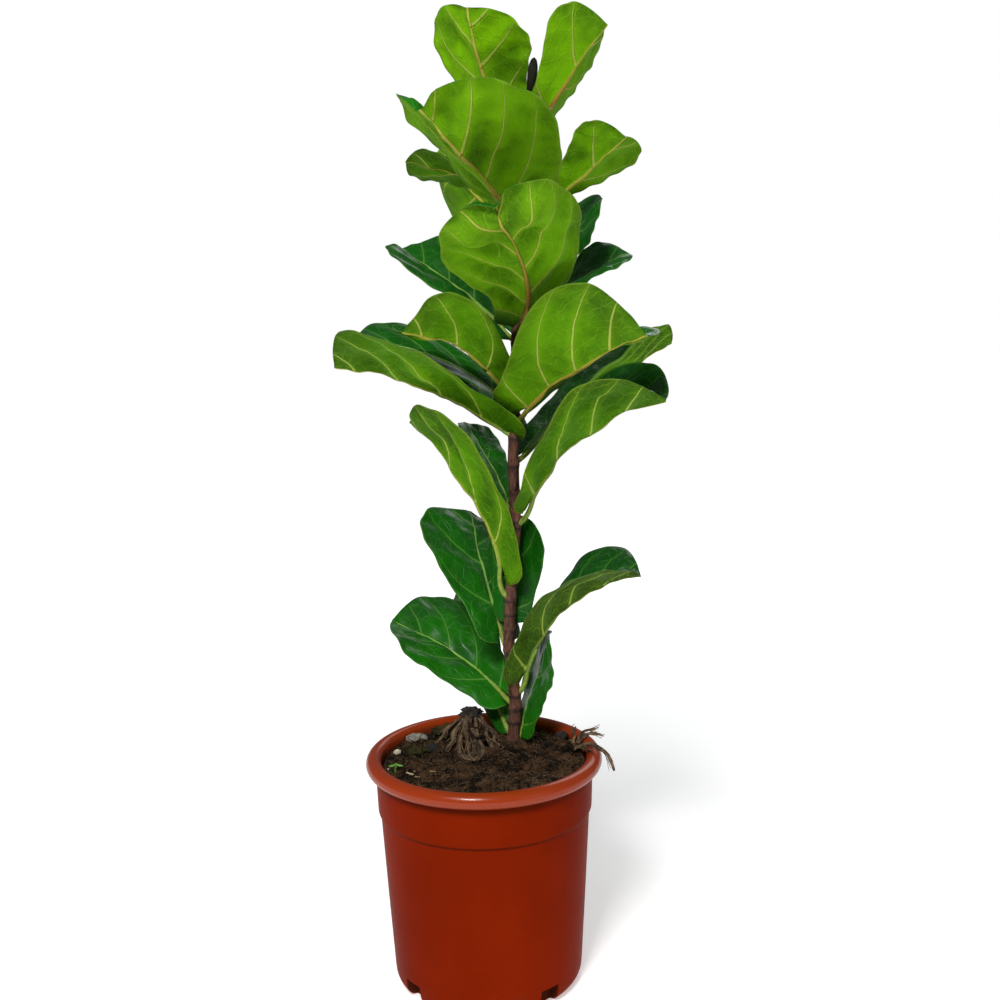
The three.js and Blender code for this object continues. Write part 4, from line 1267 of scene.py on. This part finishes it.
def mat_of_roots(mains, per_main, spread, thin, seed):
    """The main roots and, round each, thin ones that wander off it."""
    dice = np.random.default_rng(seed)
    strands = []
    for path, radii in mains:
        strands.append((path, radii))
        n = len(path)
        s = np.linspace(0, 1, n)
        for _ in range(per_main):
            off, drift, wave = dice.normal(0, spread, (3, 3))
            first = dice.integers(0, n // 3)
            until = n - dice.integers(0, n // 4)
            wander = (off + np.outer(s, drift) + np.outer(np.sin(s * dice.uniform(4, 9)), wave * 0.6))
            offset = wander * (0.25 + s[:, None])
            strands.append(((path + offset)[first:until],
                            (dice.uniform(*thin) * (1 - 0.55 * s))[first:until]))
    return strands


ROOT_STEPS = 24
TUFT_PATHS = [
    [(-15, 46, 226), (-20, 27, 218), (-21, 6, 209), (-17, -6, 204), (-8, -8, 203)],
    [(-9, 46, 226), (-6, 28, 219), (-2, 12, 210), (-3, -1, 205), (-11, -7, 203)],
    [(-12, 44, 227), (-15, 24, 220), (-14, 8, 211), (-11, -4, 203)],
    [(-11, 45, 227), (-10, 22, 218), (-8, 8, 208), (-5, -5, 202)],
    [(-5, 46, 226), (2, 34, 217), (4, 24, 209), (9, 17, 202)],
    [(-16, 46, 226), (-25, 36, 217), (-29, 26, 209), (-35, 18, 202)],
    [(-6, 48, 226), (4, 44, 216), (10, 36, 206), (14, 30, 201)],
    [(-15, 50, 225), (-24, 52, 219), (-35, 50, 211), (-43, 42, 202)],
    [(-12, 52, 225), (-10, 62, 215), (-14, 68, 207), (-18, 72, 201)],
]
mains = []
for i, through in enumerate(TUFT_PATHS):
    path = smooth_path(through, ROOT_STEPS)
    path += 1.1 * np.sin(np.linspace(0, 9 + i, ROOT_STEPS) + i)[:, None] * [1, 0, 0.5]
    wrinkle = 1 + 0.16 * np.sin(np.linspace(0, 21, ROOT_STEPS) + i)
    mains.append((path, (1.9 - 0.9 * np.linspace(0, 1, ROOT_STEPS)) * wrinkle))
tuft = sweep_strands("dried_root_tuft", mat_of_roots(mains, 10, 1.9, (0.2, 0.7), 21), 7, root_bark)
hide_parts("root_tuft")

# %% [markdown]
# The sprig at the right uses the same functions with its own paths, each with the thickness at its
# two ends.

# %% Root sprig over the rim
over = [
    ([(82, 10, 204), (94, -2, 213.5), (103, -18, 214), (108.5, -30, 211), (112, -38, 202)], 1.9, 1.3),
    ([(82, 14, 204), (93, 20, 213), (101, 20, 214.5), (109, 17, 213)], 1.5, 0.6),
    ([(83, 16, 204), (90, 27, 213), (99, 29, 215), (106, 30, 217)], 1.5, 0.5),
    ([(80, 14, 204), (82, 22, 207), (80, 30, 205)], 1.9, 1.0),
    ([(78, 6, 203), (86, 2, 209), (91, -9, 210.5), (95, -16, 212)], 1.2, 0.5),
    ([(80, 22, 204), (84, 30, 210), (82, 38, 212), (86, 44, 213)], 1.3, 0.6),
]
mains = []
for k, (through, thick, thin) in enumerate(over):
    path = smooth_path(through, ROOT_STEPS)
    s = np.linspace(0, 1, ROOT_STEPS)
    wrinkle = 1 + 0.16 * np.sin(s * 17 + k) + 0.1 * np.sin(s * 41)
    mains.append((path, (thick + (thin - thick) * s) * wrinkle))
sprig = sweep_strands("roots_over_rim", mat_of_roots(mains, 7, 1.1, (0.2, 0.6), 34), 7, root_bark)
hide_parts("root_sprig")

# %% [markdown]
# ## Knots, stones and a seedling
# The lumps are spheres of small triangles, pushed in and out by noise that is fixed by the place of
# each point, then given the finish of charred bark, grey stone, pale pebble or soil.

# %% Lumps
def lump(name, centre, size, ruggedness, finish, grain=6.0, level=5):
    """A rugged closed lump, measured in millimetres."""
    ball = bmesh.new()
    bmesh.ops.create_icosphere(ball, subdivisions=level, radius=1)
    for v in ball.verts:
        swell = lumps.fractal(v.co * max(size) / grain + Vector(centre), 0.7, 2.1, 5)
        v.co = Vector([c + s * d * (1 + ruggedness * swell)
                       for c, s, d in zip(centre, size, v.co)]) * MM
    mesh = bpy.data.meshes.new(name)
    ball.to_mesh(mesh)
    ball.free()
    mesh.materials.append(finish)
    mesh.shade_smooth()
    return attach(add_object(name, mesh), "root")


def on_soil(x, y, lift):
    """A place at that height above the soil."""
    return (x, y, float(soil_height(x, y)) + lift)


stone = grit_finish("grey_stone_skin", (0.13, 0.12, 0.1), (0.3, 0.28, 0.24), 0.75)
pebble = grit_finish("cream_pebble_skin", (0.42, 0.36, 0.25), (0.72, 0.66, 0.5), 0.6)
for name, centre, size, rugged, finish, stands_for, slot in [
        ("knot_of_black_bark", (-11, 48, 227), (9.5, 6.5, 6), 0.6, charred, None, "bark"),
        ("clod_in_the_roots", (-11, 32, 206), (13, 20, 14), 0.5, crumb_finish, None, "soil"),
        ("mossy_bank", (-31, 60, 202), (19, 14, 9.5), 0.5, moss_finish, None, "soil"),
        ("mossy_mound", (-62, 20, 200.5), (12, 14, 5), 0.5, moss_finish, None, "soil"),
        ("clump_at_rim", (79, 12, 203.5), (6.5, 10, 5), 0.5, crumb_finish, None, "soil"),
        ("stub_of_root", on_soil(72, 42, 2.5), (5.2, 4.2, 5.6), 0.5, charred, "root_stub", "bark"),
        ("grey_stone_rough", on_soil(-63, 52, 2), (8.5, 6, 5.2), 0.3, stone, "grey_stone", "stone"),
        ("cream_pebble", on_soil(-79, 24, 1.5), (4, 3.2, 3), 0.12, pebble, "pale_pebble", "pebble"),
        ("chip_of_bark", on_soil(-46, 30, 1), (9.5, 4.8, 3.2), 0.55, charred, "bark_chip", "bark")]:
    made = lump(name, centre, size, rugged, finish)
    if stands_for:
        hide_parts(stands_for)
print("lumps: 9")

# %% [markdown]
# Three straws follow the soil at the left front.

# %% Straws
straw_skin = fibre_finish("straw_skin", (0.3, 0.22, 0.1), (0.62, 0.5, 0.27))
path = smooth_path([(-68, -24, 0), (-60, -29, 0), (-50, -30, 0), (-42, -34, 0)], 30)
path[:, 2] = soil_height(path[:, 0], path[:, 1]) + 1.6
straws = [(path, np.full(30, 0.75))]
for dx, dy, thick in [(3, 5, 0.35), (-4, -3, 0.3)]:
    side = path[4:26] + [dx, dy, 0]
    side[:, 2] = soil_height(side[:, 0], side[:, 1]) + 1.2
    straws.append((side, np.full(22, thick)))
straw = sweep_strands("dry_straws", straws, 8, straw_skin)
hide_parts("straw")
print("straws:", len(straws))

# %% [markdown]
# The seedling has a thin stalk and two round seed leaves: flat discs made of rings that close at
# their upper and lower middle, a little hollow and tipped away from each other.

# %% Seedling
DISC_RINGS, DISC_SIDES, DISC_HALF_THICK = 9, 18, 0.35
seedling_skin, tree, shader, place = begin("seedling_green")
cloud = noise(place, 500, 3)
feed(shader, Base_Color=mixed(cloud.ramp(0.35, 0.65), (0.1, 0.32, 0.03), (0.2, 0.5, 0.05)),
     Roughness=0.5, Normal=bump(cloud, 0.0004))
foot = float(soil_height(-78.0, -22.0)) - 3
stalk = smooth_path([(-78, -22, foot), (-78, -22, foot + 5), (-77, -23, foot + 10)], 10)
points, faces = tube(stalk, np.full(10, 0.6), 8)
tilt = np.linspace(-np.pi / 2 + 0.1, np.pi / 2 - 0.1, DISC_RINGS)[:, None]
turn = full_turn(DISC_SIDES)
for cx, cy, cz, lean in [(-80, -23, foot + 10.4, 0.25), (-74.4, -23.5, foot + 10.8, -0.3)]:
    x, y = 3.5 * np.cos(tilt) * np.cos(turn), 2.3 * np.cos(tilt) * np.sin(turn)
    z = DISC_HALF_THICK * np.sin(tilt) + 0.05 * (x * x) + lean * x + 0 * turn
    disc = np.stack([cx + x, cy + y, cz + z], -1).reshape(-1, 3)
    faces = (faces + ring_faces(DISC_RINGS, DISC_SIDES, len(points))
             + end_faces(DISC_RINGS, DISC_SIDES, len(points)))
    ends = [[cx, cy, cz - DISC_HALF_THICK], [cx, cy, cz + DISC_HALF_THICK]]
    points = np.concatenate([points, disc, ends])
seedling = closed_mesh("tiny_seedling", points, faces, [seedling_skin])
finish_piece(seedling, "sprout")
print("seedling faces:", len(seedling.data.polygons))
